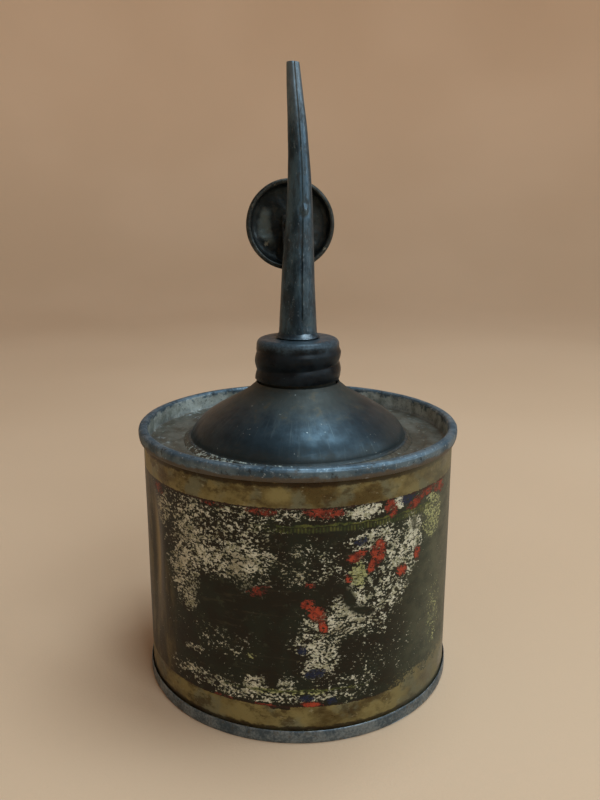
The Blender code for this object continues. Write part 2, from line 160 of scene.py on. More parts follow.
def refined(outline, longest, closed=True):
    """Add points so that no side is longer than longest."""
    result = []
    count = len(outline)
    for k, point in enumerate(outline):
        result.append(tuple(point))
        if not closed and k == count - 1:
            break
        after = outline[(k + 1) % count]
        gap = math.dist(point, after)
        extra = int(gap / longest)
        for step in range(1, extra + 1):
            t = step / (extra + 1)
            result.append(tuple(a + (b - a) * t for a, b in zip(point, after)))
    return result


def turned_mesh(name, outline, steps, closed=True, warp=None, sharp=40.0):
    """Turn (radius, height) points about Z.  warp(angle, r, z) gives the new (r, z)."""
    rings = []
    for r, z in outline:
        if r < 1e-6:
            rings.append([(0.0, 0.0, z)])
            continue
        ring = []
        for k in range(steps):
            angle = TURN * k / steps
            rr, zz = warp(angle, r, z) if warp else (r, z)
            ring.append((rr * math.cos(angle), rr * math.sin(angle), zz))
        rings.append(ring)
    return ring_mesh(name, rings, closed, sharp)


def bezier(start, handle_a, handle_b, end, count):
    points = []
    for step in range(1, count + 1):
        t = step / count
        weights = ((1 - t) ** 3, 3 * t * (1 - t) ** 2, 3 * t * t * (1 - t), t ** 3)
        corners = (start, handle_a, handle_b, end)
        points.append(tuple(sum(w * c[k] for w, c in zip(weights, corners)) for k in (0, 1)))
    return points


def smooth(x, low, high):
    t = min(max((x - low) / (high - low), 0.0), 1.0)
    return t * t * (3.0 - 2.0 * t)


def bell(x, middle, width):
    return math.exp(-((x - middle) / width) ** 2)


def angle_gap(a, b):
    """Signed difference of two angles, from -pi to pi."""
    return (a - b + math.pi) % TURN - math.pi


def front_angle(angle):
    """Angle from the photographed side, positive towards +X."""
    return angle_gap(angle, -math.pi / 2 + VIEW_ANGLE)


def lay_back(mesh, y, z):
    """Turn a mesh made about +Z so that its +Z points to the front, -Y."""
    mesh.transform(Matrix.Translation((0.0, y * MM, z * MM)) @ Matrix.Rotation(math.pi / 2, 4, 'X'))
    return mesh


# ================================================================ material helpers

class Finish:
    """A Principled material with short calls for the nodes that it uses."""

    def __init__(self, name):
        self.material = bpy.data.materials.new(name)
        self.material.use_nodes = True
        self.tree = self.material.node_tree
        self.shader = self.tree.nodes["Principled BSDF"]
        self.object_coords = self.node('ShaderNodeTexCoord').outputs["Object"]

    def node(self, kind, **settings):
        made = self.tree.nodes.new(kind)
        for key, value in settings.items():
            setattr(made, key, value)
        return made

    def plug(self, value, socket):
        if isinstance(value, bpy.types.NodeSocket):
            self.tree.links.new(value, socket)
        else:
            socket.default_value = value

    def math(self, operation, a, b=0.0):
        made = self.node('ShaderNodeMath', operation=operation)
        self.plug(a, made.inputs[0])
        self.plug(b, made.inputs[1])
        return made.outputs[0]

    def times(self, a, b):
        return self.math('MULTIPLY', a, b)

    def plus(self, a, b):
        return self.math('ADD', a, b)

    def most(self, a, b):
        return self.math('MAXIMUM', a, b)

    def shaken(self, value, noise, amount):
        """value, moved up and down by noise."""
        return self.plus(value, self.times(self.math('SUBTRACT', noise, 0.5), amount))

    def over(self, base, value, low, high, paint, most=1.0):
        """base, covered by paint where value goes from low to high."""
        return self.mix(self.band(value, low, high, 0.0, most), base, paint)

    def stretched(self, stretch):
        made = self.node('ShaderNodeVectorMath', operation='MULTIPLY')
        self.plug(self.object_coords, made.inputs[0])
        made.inputs[1].default_value = stretch
        return made.outputs[0]

    def noise(self, size, detail=4.0, rough=0.55, stretch=None, shift=0.0):
        """Noise whose features are about size mm across."""
        made = self.node('ShaderNodeTexNoise')
        made.inputs["Scale"].default_value = 1.0 / (size * MM)
        made.inputs["Detail"].default_value = detail
        made.inputs["Roughness"].default_value = rough
        vector = self.stretched(stretch) if stretch else self.object_coords
        if shift:
            moved = self.node('ShaderNodeVectorMath', operation='ADD')
            self.plug(vector, moved.inputs[0])
            moved.inputs[1].default_value = (shift, shift * 0.7, -shift)
            vector = moved.outputs[0]
        self.plug(vector, made.inputs["Vector"])
        return made.outputs[0]

    def cells(self, size):
        made = self.node('ShaderNodeTexVoronoi')
        made.inputs["Scale"].default_value = 1.0 / (size * MM)
        self.plug(self.object_coords, made.inputs["Vector"])
        return made.outputs["Distance"]

    def band(self, value, low, high, to_low=0.0, to_high=1.0):
        """A smooth step of value, from to_low at low to to_high at high."""
        made = self.node('ShaderNodeMapRange', interpolation_type='SMOOTHSTEP')
        self.plug(value, made.inputs["Value"])
        for key, setting in (("From Min", low), ("From Max", high), ("To Min", to_low), ("To Max", to_high)):
            self.plug(setting, made.inputs[key])
        return made.outputs[0]

    def mix(self, share, a, b):
        made = self.node('ShaderNodeMix', data_type='RGBA')
        self.plug(share, made.inputs[0])
        self.plug((*a, 1.0) if isinstance(a, tuple) else a, made.inputs[6])
        self.plug((*b, 1.0) if isinstance(b, tuple) else b, made.inputs[7])
        return made.outputs[2]

    def blend(self, share, a, b):
        made = self.node('ShaderNodeMix', data_type='FLOAT')
        self.plug(share, made.inputs[0])
        self.plug(a, made.inputs[2])
        self.plug(b, made.inputs[3])
        return made.outputs[0]

    def attribute(self, name):
        return self.node('ShaderNodeAttribute', attribute_name=name).outputs["Fac"]

    def edges(self, low, high):
        """1 on convex edges, or in hollows where high is below low, and 0 elsewhere."""
        return self.band(self.node('ShaderNodeNewGeometry').outputs["Pointiness"], low, high)

    def height(self):
        return self.split("Z")

    def radius(self):
        """Distance from the can's axis, in metres."""
        x, y = self.split("X"), self.split("Y")
        return self.math('SQRT', self.plus(self.times(x, x), self.times(y, y)))

    def split(self, axis):
        made = self.node('ShaderNodeSeparateXYZ')
        self.plug(self.object_coords, made.inputs[0])
        return made.outputs[axis]

    def bump(self, height, distance, under=None, strength=1.0):
        made = self.node('ShaderNodeBump')
        made.inputs["Strength"].default_value = strength
        made.inputs["Distance"].default_value = distance * MM
        self.plug(height, made.inputs["Height"])
        if under is not None:
            self.plug(under, made.inputs["Normal"])
        return made.outputs[0]

    def output(self, colour=None, roughness=None, metallic=None, normal=None, **fixed):
        for key, value in (("Base Color", colour), ("Roughness", roughness),
                           ("Metallic", metallic), ("Normal", normal)):
            if value is None:
                continue
            if isinstance(value, tuple):
                value = (*value, 1.0)
            self.plug(value, self.shader.inputs[key])
        for key, value in fixed.items():
            self.shader.inputs[key.replace("_", " ")].default_value = value
        return self.material


def worn_metal(name, dark, light, stain, rough, metallic, grain, stain_cover, pits, shift, edge=None):
    """Old tinplate or steel: tone clouds, brown stains, fine scratches, pits and rubbed edges."""
    f = Finish(name)
    clouds = f.noise(grain, 5.0, 0.6, shift=shift)
    fine = f.noise(0.5, 3.0, 0.6, shift=shift)
    scratch = f.noise(0.9, 6.0, 0.75, stretch=(3.0, 3.0, 0.3), shift=shift)
    stains = f.noise(grain * 0.55, 6.0, 0.68, shift=shift + 0.37)
    speck = f.noise(0.8, 2.0, 0.5, shift=shift + 0.11)
    tone = f.band(f.plus(f.times(clouds, 0.7),
                                   f.times(fine, 0.3)), 0.38, 0.64)
    colour = f.mix(tone, dark, light)
    stained = f.band(stains, 1.0 - stain_cover, 1.14 - stain_cover)
    colour = f.mix(f.times(stained, 0.8), colour, stain)
    spots = f.band(speck, 0.68, 0.74)
    colour = f.mix(f.times(spots, 0.65), colour, tuple(c * 0.25 for c in dark))
    roughness = f.blend(stained, f.blend(tone, rough + 0.1, rough - 0.06), rough + 0.22)
    roughness = f.shaken(roughness, scratch, 0.25)
    metal = f.blend(stained, metallic, metallic * 0.35)
    if edge is not None:
        rub = f.times(f.edges(0.515, 0.56), f.band(fine, 0.35, 0.6))
        colour = f.mix(rub, colour, edge)
        roughness = f.blend(rub, roughness, 0.3)
    relief = f.bump(scratch, 0.012)
    relief = f.bump(clouds, pits * 5.0, relief, 0.5)
    relief = f.bump(spots, -pits, relief)
    return f.output(colour, roughness, metal, relief)


# ================================================================ camera, light and floor

def make_camera():
    """A camera 167 mm in front of the can's axis and 102 mm up, looking down by 14 degrees."""
    data = bpy.data.cameras.new("camera")
    data.sensor_width = 36.0
    data.lens = 35.82
    data.clip_start = 0.005
    camera = bpy.data.objects.new("camera", data)
    bpy.context.scene.collection.objects.link(camera)
    distance, height, pitch, aside = 0.16737, 0.10244, math.radians(14.07), 0.00044
    turn = Matrix.Rotation(VIEW_ANGLE, 4, 'Z')
    place = Matrix.Translation((aside, -distance, height))
    look = Matrix.Rotation(math.pi / 2 - pitch, 4, 'X')
    camera.matrix_world = turn @ place @ look
    bpy.context.scene.camera = camera


def soft_light(name, place, target, size, power, colour):
    data = bpy.data.lights.new(name, 'AREA')
    data.shape = 'RECTANGLE'
    data.size, data.size_y = size
    data.energy = power
    data.color = colour
    light = bpy.data.objects.new(name, data)
    bpy.context.scene.collection.objects.link(light)
    aim = (Vector(target) - Vector(place)).to_track_quat('-Z', 'Y')
    light.matrix_world = Matrix.Translation(place) @ aim.to_matrix().to_4x4()


def make_lights():
    middle = (0.0, 0.0, 0.06)
    cool = (0.74, 0.9, 1.0)
    soft_light("overhead", (0.17, 0.04, 0.72), middle, (0.34, 0.34), 3.0, cool)
    soft_light("right_window", (0.54, -0.2, 0.4), middle, (0.4, 0.5), 1.6, cool)
    soft_light("front_high", (0.2, -0.55, 0.5), middle, (0.34, 0.34), 2.5, cool)
    world = bpy.data.worlds.new("studio")
    world.use_nodes = True
    background = world.node_tree.nodes["Background"]
    background.inputs["Color"].default_value = (0.5, 0.53, 0.55, 1.0)
    background.inputs["Strength"].default_value = 0.54
    bpy.context.scene.world = world
    bpy.context.scene.view_settings.view_transform = 'Standard'


def make_floor():
    """A floor that curves up into a plain backdrop on every side."""
    f = Finish("floor_card")
    weave = f.noise(0.6, 2.0, 0.5)
    clouds = f.noise(160.0, 2.0, 0.4)
    card = f.over((0.56, 0.39, 0.252), clouds, 0.3, 0.7, (0.592, 0.418, 0.275))
    backdrop = f.over((0.7, 0.485, 0.315), clouds, 0.3, 0.7, (0.74, 0.52, 0.344))
    colour = f.over(card, f.height(), 0.0, 0.25, backdrop)
    material = f.output(colour, 0.85, 0.0, f.bump(weave, 0.05))
    flat, bend, wall = 0.55, 0.35, 1.6
    outline = [(0.0, 0.0), (flat, 0.0)]
    for step in range(1, 13):
        angle = math.pi / 2 * step / 12
        outline.append((flat + bend * math.sin(angle), bend * (1 - math.cos(angle))))
    outline.append((flat + bend, wall))
    mesh = turned_mesh("floor", [(r / MM, z / MM) for r, z in outline], 96, closed=False)
    mesh.flip_normals()
    mesh.materials.append(material)
    floor = bpy.data.objects.new("floor", mesh)
    bpy.context.scene.collection.objects.link(floor)


make_camera()
make_lights()
make_floor()


# ================================================================ can: printed body

LABEL_LOW = 7.6
LABEL_HIGH = 48.8
BORDER_Z = 45.2                          # thin green line over a row of ticks
LOW_BORDER_Z = 11.3
TICK_PITCH = 0.66
SEAM_ANGLE = math.pi / 2


def body_dent(angle, z):
    """Inward depth, mm: a long crease on the left, one soft dent low on the right, faint waves."""
    s = front_angle(angle) * BODY_R
    mid = smooth(z, 6.0, 16.0) * (1.0 - smooth(z, 44.0, 52.0))
    crease = 0.95 * bell(s, -37.0 + 0.05 * (z - 30.0), 3.6) * bell(z, 32.0, 15.0)
    beside = -0.22 * bell(s, -31.0, 2.0) * bell(z, 32.0, 13.0)
    low_right = 0.35 * bell(s, 34.0, 7.0) * bell(z, 17.0, 8.0)
    back = 0.45 * bell(s, 72.0, 6.0) * bell(z, 36.0, 9.0)
    waves = 0.05 * noise.noise(Vector((math.cos(angle) * 2.2, math.sin(angle) * 2.2, z * 0.07)))
    return mid * (crease + beside + low_right + back + waves)


def body_warp(angle, r, z):
    r -= body_dent(angle, z)
    if r > BODY_R - 3.0 and BASE_HIGH.z < z < CAN_H - 3.4:
        s = angle_gap(angle, SEAM_ANGLE) * BODY_R
        lap = smooth(s, -2.6, -2.2) * (1.0 - smooth(s, 1.9, 2.1))
        if r > BODY_R - 1.2:
            r += 0.24 * lap
    return r, z


def ellipse(s, z, wide, high, tilt, soft=0.45):
    """1 inside an ellipse about (0, 0) and 0 outside, with a soft border."""
    c, n = math.cos(math.radians(tilt)), math.sin(math.radians(tilt))
    u = (s * c + z * n) / wide
    v = (z * c - s * n) / high
    return 1.0 - smooth(math.hypot(u, v), 1.0 - soft, 1.0 + soft)


# Patches of print on the front panel: place along and up, half width and height, tilt, strength; mm, degrees
CREAM = (
    (-17.0, 43.5, 13.5, 5.0, 0, 0.8), (-16.0, 38.0, 12.5, 4.6, 0, 0.9),
    (-24.5, 33.0, 4.4, 8.0, 0, 0.86), (-23.0, 27.5, 2.4, 3.4, 0, 0.9),
    (-8.0, 33.5, 4.6, 3.2, 0, 0.66), (2.5, 37.0, 7.0, 5.5, 0, 0.5),
    (-3.0, 47.4, 30.0, 1.6, 0, 0.74), (13.0, 47.2, 4.0, 1.7, 0, 1.15),
    (20.4, 47.8, 1.5, 1.6, 20, 1.5), (29.8, 46.4, 1.4, 1.2, 0, 1.5),
    (14.5, 41.2, 5.6, 2.4, 8, 0.98), (24.4, 40.0, 3.0, 4.6, 0, 1.06),
    (21.0, 36.0, 5.4, 5.6, 0, 0.8), (12.0, 33.6, 3.6, 5.0, 0, 0.78),
    (18.6, 30.0, 4.6, 4.4, 0, 0.84), (10.4, 29.4, 4.4, 3.6, 0, 0.92),
    (7.0, 25.2, 6.4, 3.6, 0, 0.8), (14.5, 25.0, 4.6, 3.0, 10, 0.74),
    (3.4, 21.0, 4.8, 4.0, 0, 0.84), (4.4, 16.8, 4.0, 3.6, 0, 0.9),
    (-14.0, 20.4, 6.4, 3.6, 0, 0.44), (-21.5, 16.4, 3.0, 1.0, 0, 0.7),
    (-8.3, 12.4, 2.5, 2.3, 0, 1.0), (-2.2, 12.6, 1.8, 2.2, 0, 0.92),
    (-5.0, 9.8, 18.0, 1.5, 0, 0.8), (-20.0, 11.4, 8.0, 1.4, 0, 0.74),
    (10.0, 11.4, 7.0, 3.2, 0, 0.5), (16.0, 19.0, 8.0, 6.0, 0, 0.32),
    (-31.5, 44.0, 4.4, 4.6, 0, 0.84), (5.0, 35.4, 6.4, 1.8, 0, 0.66), (-28.0, 11.0, 4.6, 2.0, -20, 0.6),
)
RED = (
    (4.6, 47.7, 3.8, 1.05, -3, 1.0), (18.4, 47.0, 1.3, 2.0, 12, 1.0), (25.2, 46.6, 2.6, 0.9, 18, 1.0),
    (29.0, 48.0, 2.3, 1.1, 10, 1.0), (33.6, 47.4, 2.6, 1.3, -12, 1.0), (-6.6, 47.8, 2.8, 0.8, 0, 0.85),
    (-33.0, 47.2, 2.2, 1.1, 0, 0.9), (-16.5, 48.1, 2.6, 0.6, 0, 0.7),
    (11.4, 38.5, 2.2, 0.85, 24, 1.0), (15.8, 39.3, 1.5, 2.0, -18, 1.0), (15.6, 37.2, 1.9, 1.2, 35, 1.0),
    (14.2, 35.6, 0.8, 1.2, -25, 0.9), (21.4, 33.4, 1.4, 1.2, 0, 1.0), (25.9, 35.7, 1.0, 1.4, 0, 0.9),
    (1.9, 29.6, 1.3, 1.1, 30, 1.0), (3.6, 27.6, 2.0, 1.5, -38, 1.0), (4.8, 24.9, 0.8, 1.7, 10, 1.0),
    (-7.2, 32.0, 2.4, 1.0, 14, 0.62), (2.6, 8.2, 2.1, 0.8, 0, 0.95), (-6.4, 7.9, 2.2, 0.5, 0, 0.8),
    (-15.0, 8.0, 2.0, 0.4, 0, 0.7), (9.6, 34.0, 0.7, 1.0, 0, 0.8), (2.4, 33.4, 1.0, 0.6, 0, 0.7),
)
DARK = (
    (6.3, 32.2, 3.6, 1.5, 0, 1.2), (9.8, 30.0, 1.2, 2.2, 24, 1.2), (12.6, 27.2, 3.0, 0.9, -18, 1.1),
    (-11.0, 27.0, 9.5, 6.2, 0, 0.9), (-5.4, 18.0, 4.0, 4.6, 0, 0.8), (22.9, 48.0, 1.7, 1.3, 0, 1.0),
    (-12.0, 30.6, 9.0, 2.4, 0, 0.8), (-1.8, 42.2, 3.8, 1.5, 0, 0.7), (24.6, 42.6, 0.9, 1.6, 0, 0.8),
)
NAVY = (
    (0.8, 20.0, 0.8, 0.7, 0, 1.0), (3.4, 15.0, 1.9, 0.9, 10, 0.9), (1.7, 9.8, 1.3, 0.7, 0, 0.9),
    (22.4, 47.9, 2.1, 1.2, 0, 0.9), (12.0, 41.2, 1.6, 0.7, 20, 0.8), (6.6, 8.9, 1.0, 0.7, 0, 0.9),
)
LIME = (
    (11.6, 34.8, 1.7, 2.5, 10, 1.0), (31.0, 42.4, 3.6, 4.6, 0, 0.6), (-9.0, 18.2, 1.0, 0.5, 0, 0.7),
    (1.6, 11.0, 3.4, 0.7, 0, 0.7), (-6.0, 11.2, 3.0, 0.5, 0, 0.6), (34.0, 20.0, 4.0, 9.0, 0, 0.22),
)


def patches(table, s, z):
    total = 0.0
    for along, up, wide, high, tilt, strength in table:
        if abs(s - along) < wide * 1.6 + 2.0 and abs(z - up) < high * 1.6 + 2.0:
            total = max(total, strength * ellipse(s - along, z - up, wide, high, tilt))
    return total


def label_masks(angle, z):
    """Values of the MASKS at a place on the printed wall.

    The front panel repeats on the back, turned end for end in its wear, as the two sides of one print.
    """
    s = front_angle(angle) * BODY_R
    half_way = math.pi * BODY_R
    wobble = noise.noise(Vector((s * 0.16, z * 0.16, 3.0)))
    edge = LABEL_LOW + 0.12 * wobble < z < LABEL_HIGH + 0.1 * wobble
    at_back = abs(s) > half_way / 2
    if at_back:
        s = s - math.copysign(half_way, s)
        wear = patches(CREAM, -s, 56.0 - z)
    else:
        wear = patches(CREAM, s, z)
    left_edge = -27.4 - 7.5 * smooth(z, 24.0, 47.0)
    left = 1.0 - smooth(s, left_edge - 2.4, left_edge + 0.8)
    right = smooth(s, 15.0, 33.0)
    side = 1.0 - smooth(abs(s), 45.0, 51.5)
    left *= side
    right *= side
    cream = wear * (1.0 - 0.8 * max(left, smooth(right, 0.75, 1.0)))
    # painted highlight along the left crease, less a painted shade line just beside it
    crease_sheen_shade = left * bell(s, -36.0, 1.7) * bell(z, 33.0, 11.0) - bell(s, -31.8, 1.0) * bell(z, 32.0, 9.0)
    if at_back:
        crease_sheen_shade = 0.0
    border = smooth(s, -18.0, 6.0) if z > 28.0 else 0.9 * bell(s, 0.0, 14.0)
    border *= 1.0 - 0.8 * smooth(abs(s), 28.0, 31.0)
    print_on = 1.0 if edge else 0.0
    print_on -= 0.62 * smooth(s, 10.0, 26.0) * (1.0 - smooth(z, LABEL_LOW + 0.5, 14.0)) * print_on
    seam = abs(angle_gap(angle, SEAM_ANGLE)) * BODY_R
    print_on *= smooth(seam, 3.4, 3.9)
    return (cream, patches(RED, s, z), patches(DARK, s, z), patches(NAVY, s, z),
            patches(LIME, s, z), border, print_on, left, right, crease_sheen_shade, s)


MASKS = ("cream", "red", "dark", "navy", "lime", "border", "print", "left", "right", "crease_sheen_shade", "along")


def paint(mesh, name, level):
    """Store level(place in mm) at every vertex, for a shader to read."""
    values = [level(vertex.co / MM) for vertex in mesh.vertices]
    mesh.attributes.new(name, 'FLOAT', 'POINT').data.foreach_set("value", values)


def paint_label(mesh):
    values = np.zeros((len(MASKS), len(mesh.vertices)), np.float32)
    for vertex in mesh.vertices:
        x, y, z = vertex.co / MM
        if math.hypot(x, y) < BODY_R - 1.6:
            continue
        values[:, vertex.index] = label_masks(math.atan2(y, x), z)
    for name, row in zip(MASKS, values):
        mesh.attributes.new(name, 'FLOAT', 'POINT').data.foreach_set("value", row)


class PrintedTin(Finish):
    """Old printed tinplate, with the noises and edges that all its layers share."""

    def __init__(self):
        super().__init__("printed_tin")
        self.fine = self.noise(0.5, 3.0, 0.66, stretch=(0.8, 0.8, 1.15))
        self.grit = self.noise(0.42, 4.0, 0.7, stretch=(1.0, 1.0, 1.3), shift=0.55)
        self.chips = self.noise(1.25, 4.0, 0.68, stretch=(0.72, 0.72, 1.2), shift=0.21)
        self.tint = self.noise(1.6, 3.0, 0.6, shift=0.62)
        self.broad = self.noise(5.5, 3.0, 0.5, shift=0.43)
        self.stain = self.noise(7.0, 5.0, 0.62, stretch=(0.8, 0.8, 1.2), shift=0.77)
        self.rub = self.noise(2.6, 6.0, 0.75, stretch=(0.35, 0.35, 2.2), shift=0.93)
        self.drip = self.noise(3.2, 5.0, 0.66, stretch=(1.4, 1.4, 0.35), shift=0.15)
        self.blotch = self.noise(3.6, 6.0, 0.7, stretch=(0.75, 0.75, 1.25), shift=0.34)
        chipped = self.times(self.math('SUBTRACT', self.chips, 0.5), 3.0)
        self.ragged = self.shaken(chipped, self.grit, 3.0)
        self.torn = self.shaken(self.ragged, self.fine, 5.0)
        self.z_rough = self.shaken(self.height(), self.chips, 0.0016)

    def stripe(self, middle, half):
        """A level stripe, half as wide again at its soft edges; mm."""
        low = self.band(self.z_rough, (middle - half * 1.6) * MM, (middle - half * 0.6) * MM)
        high = self.band(self.z_rough, (middle + half * 1.6) * MM, (middle + half * 0.6) * MM)
        return self.times(low, high)

    def ink(self, mask, high, wear):
        """Where an ink still holds inside its mask, with ragged borders and some gaps."""
        level = self.attribute(mask)
        on = self.plus(level, self.times(self.torn, self.band(level, 0.0, 0.35)))
        gaps = self.plus(self.times(self.grit, 0.6), self.times(self.tint, 0.4))
        return self.times(self.band(on, 0.45, high), self.blend(wear, 1.0, self.band(gaps, 0.4, 0.47)))


def bare_tin(f):
    """Olive to brass-yellow, with brown stains, grime and grey-green clean spots, and painted shade in thin
    lines under the upper seam and above the lower seam.
    """
    bare = f.over((0.085, 0.06, 0.021), f.stain, 0.36, 0.6, (0.235, 0.195, 0.08))
    bare = f.over(bare, f.broad, 0.48, 0.62, (0.15, 0.158, 0.105), 0.7)
    bare = f.over(bare, f.blotch, 0.5, 0.64, (0.052, 0.034, 0.013), 0.75)
    bare = f.over(bare, f.grit, 0.62, 0.72, (0.02, 0.014, 0.007), 0.7)
    bare = f.over(bare, f.chips, 0.38, 0.3, (0.33, 0.31, 0.2), 0.5)
    # painted shade: a dark line just under the upper seam and one just above the lower seam
    seam_line_shade = f.most(f.stripe(CAN_H - 3.3, 0.5), f.stripe(BASE_HIGH.z - 0.7, 0.45))
    bare = f.mix(f.times(seam_line_shade, 0.85), bare, (0.02, 0.012, 0.006))
    return f.mix(f.times(f.attribute("right"), 0.6), bare, (0.105, 0.108, 0.074))


def print_ground(f):
    """The blackened ground, greener on the right, browner and streaked on the left, with a painted highlight
    along the left crease.
    """
    ground = f.over((0.01, 0.008, 0.004), f.broad, 0.4, 0.6, (0.011, 0.013, 0.007))
    ground = f.over(ground, f.rub, 0.56, 0.66, (0.044, 0.036, 0.019), 0.5)
    ground = f.over(ground, f.tint, 0.6, 0.7, (0.04, 0.045, 0.024), 0.45)
    right_tone = f.over((0.027, 0.034, 0.022), f.blotch, 0.36, 0.62, (0.062, 0.066, 0.04))
    left_tone = f.over((0.02, 0.014, 0.005), f.drip, 0.42, 0.58, (0.062, 0.046, 0.016))
    ground = f.mix(f.times(f.attribute("right"), 0.95), ground, right_tone)
    ground = f.mix(f.times(f.attribute("left"), 0.9), ground, left_tone)
    # painted highlight: a light brass-coloured band along the left crease
    return f.over(ground, f.attribute("crease_sheen_shade"), 0.0, 1.0, (0.24, 0.17, 0.052), 0.85)


def cream_ink(f):
    """Where cream ink holds, broken into specks where its cover falls, and its colour."""
    speckle = f.plus(f.times(f.fine, 0.62), f.times(f.chips, 0.38))
    patchy = f.shaken(f.attribute("cream"), f.broad, 0.7)
    on = f.band(f.plus(speckle, f.times(patchy, 0.16)), 0.625, 0.665)
    cream = f.over((0.25, 0.24, 0.145), f.tint, 0.4, 0.6, (0.5, 0.47, 0.345))
    cream = f.over(cream, f.grit, 0.5, 0.64, (0.78, 0.76, 0.64), 0.66)
    cream = f.over(cream, f.stain, 0.52, 0.66, (0.2, 0.165, 0.095), 0.55)
    return f.times(on, f.math('SUBTRACT', 1.0, f.attribute("dark"))), cream


def border_lines(f):
    """Where the thin green lines and their row of ticks hold, and their colour."""
    wave = f.math('SINE', f.times(f.attribute("along"), TURN / TICK_PITCH))
    ticks = f.times(f.stripe(BORDER_Z - 0.85, 0.42), f.band(wave, -0.2, 0.7, 0.25, 0.9))
    border = f.most(f.most(f.stripe(BORDER_Z, 0.15), ticks), f.stripe(LOW_BORDER_Z, 0.2))
    kept = f.band(f.plus(f.attribute("border"), f.times(f.ragged, 0.6)), 0.35, 0.65)
    green = f.over((0.034, 0.046, 0.012), f.tint, 0.4, 0.6, (0.105, 0.11, 0.026))
    return f.times(border, f.times(kept, 0.85)), green


def red_ink(f):
    """Bright in the middle of a patch, dull at its edge and above the border."""
    bright = f.over((0.13, 0.016, 0.008), f.tint, 0.38, 0.58, (0.33, 0.046, 0.02))
    bright = f.over(bright, f.grit, 0.56, 0.66, (0.05, 0.012, 0.008), 0.6)
    dull = f.over((0.055, 0.012, 0.007), f.tint, 0.4, 0.6, (0.2, 0.03, 0.016))
    dull = f.over(dull, f.grit, 0.52, 0.62, (0.03, 0.01, 0.006), 0.7)
    high = f.band(f.z_rough, BORDER_Z * MM, (BORDER_Z + 1.0) * MM, 0.0, 0.7)
    return f.mix(f.most(high, f.band(f.attribute("red"), 0.75, 0.55)), bright, dull)


def printed_tin():
    """Chipped cream, red and green ink on a blackened ground, with bare tin round it."""
    f = PrintedTin()
    cream_on, cream = cream_ink(f)
    colour = f.mix(cream_on, print_ground(f), cream)
    lime = f.over((0.12, 0.125, 0.036), f.fine, 0.4, 0.6, (0.33, 0.33, 0.15))
    colour = f.mix(f.ink("lime", 0.8, 0.9), colour, lime)
    border_on, green = border_lines(f)
    colour = f.mix(border_on, colour, green)
    colour = f.mix(f.ink("navy", 0.6, 0.5), colour, (0.01, 0.015, 0.036))
    red_on = f.ink("red", 0.6, 0.75)
    colour = f.mix(red_on, colour, red_ink(f))
    frame_line = f.most(f.stripe(LABEL_HIGH - 0.1, 0.28), f.stripe(LABEL_LOW + 0.15, 0.22))
    colour = f.mix(f.times(frame_line, f.band(f.chips, 0.36, 0.5, 0.3, 0.9)), colour, (0.03, 0.012, 0.007))

    worn = f.times(f.attribute("left"), f.band(f.drip, 0.53, 0.6))
    on_print = f.band(f.plus(f.attribute("print"), f.times(f.ragged, 0.35)), 0.45, 0.55)
    on_print = f.times(on_print, f.math('SUBTRACT', 1.0, f.times(worn, 0.25)))
    colour = f.mix(on_print, bare_tin(f), colour)
    # painted shade: a dark line beside the left crease
    colour = f.over(colour, f.attribute("crease_sheen_shade"), -0.15, -0.8, (0.01, 0.008, 0.004), 0.8)

    ink_film = f.times(on_print, f.most(cream_on, red_on))
    roughness = f.blend(on_print, f.band(f.stain, 0.35, 0.65, 0.3, 0.5), 0.42)
    roughness = f.shaken(f.blend(ink_film, roughness, 0.48), f.fine, 0.25)
    relief = f.bump(ink_film, 0.03)
    relief = f.bump(f.rub, 0.05, relief, 0.6)
    relief = f.bump(f.fine, 0.02, relief, 0.8)
    return f.output(colour, roughness, f.blend(on_print, 0.5, 0.0), relief, Specular_IOR_Level=0.2)


def make_printed_body():
    inside = BODY_R - TIN
    low, high = BODY_LOW.z, BODY_HIGH.z
    outline = [(BODY_R, high), (BODY_R, low), (inside, low), (inside, high)]
    outline = refined(rounded(outline, 0.12, steps=2), 0.55)
    mesh = turned_mesh("printed_body", outline, 420, warp=body_warp)
    paint_label(mesh)
    new_piece("printed_body", mesh, "can", "can_body", printed_tin())


make_printed_body()


# ================================================================ can: ends

def seam_wave(angle, seed):
    """Small unevenness of a rolled seam, mm."""
    spot = Vector((math.cos(angle) * 3.0, math.sin(angle) * 3.0, seed))
    return 0.07 * noise.noise(spot) + 0.03 * noise.noise(spot * 4.0)


def make_top_end():
    low, panel_z = TOP_LOW.z, PANEL_Z
    inner = CHUCK_R - TIN
    hole = 21.5
    foot = CAN_H - 2.8
    outline = [
        (32.9, CAN_H), (33.8, CAN_H - 0.1), (TOP_R + 0.06, CAN_H - 0.6), (TOP_R + 0.08, CAN_H - 1.4),
        (TOP_R - 0.04, foot + 0.5), (TOP_R - 0.28, foot + 0.02), (HOOK_R, foot + 0.08),
        (HOOK_R, CAN_H - 0.75), (HOOK_R - 0.2, CAN_H - 0.6), (CHUCK_R + 0.2, CAN_H - 0.6),
        (CHUCK_R, CAN_H - 0.8),
        (CHUCK_R, panel_z - 0.1), (CHUCK_R - 0.2, low + 0.01), (hole, low + 0.01), (hole, panel_z),
        (27.4, panel_z), (28.0, panel_z + 0.16), (29.6, panel_z + 0.16), (30.2, panel_z),
        (inner - 0.55, panel_z), (inner - 0.12, panel_z + 0.25), (inner, panel_z + 0.8),
        (inner + 0.1, CAN_H - 0.55), (inner + 0.32, CAN_H - 0.12),
    ]

    def warp(angle, r, z):
        if r > HOOK_R + 0.05 and z < CAN_H - 0.4:
            r -= 0.05 + seam_wave(angle, 1.0)
        if z > CAN_H - 0.5:
            z -= 0.06 + 0.5 * seam_wave(angle, 5.0)
        if r < inner and z < panel_z + 0.5:
            z += 0.05 * noise.noise(Vector((r * math.cos(angle), r * math.sin(angle), 0.0)) * 0.16)
        return r, z

    outline = refined(rounded(outline, 0.3, steps=4), 1.2)
    mesh = turned_mesh("upper_end", outline, 360, warp=warp)
    material = end_steel("end_steel_top", inner, panel_z)
    new_piece("upper_end", mesh, "can", "top_end", material)


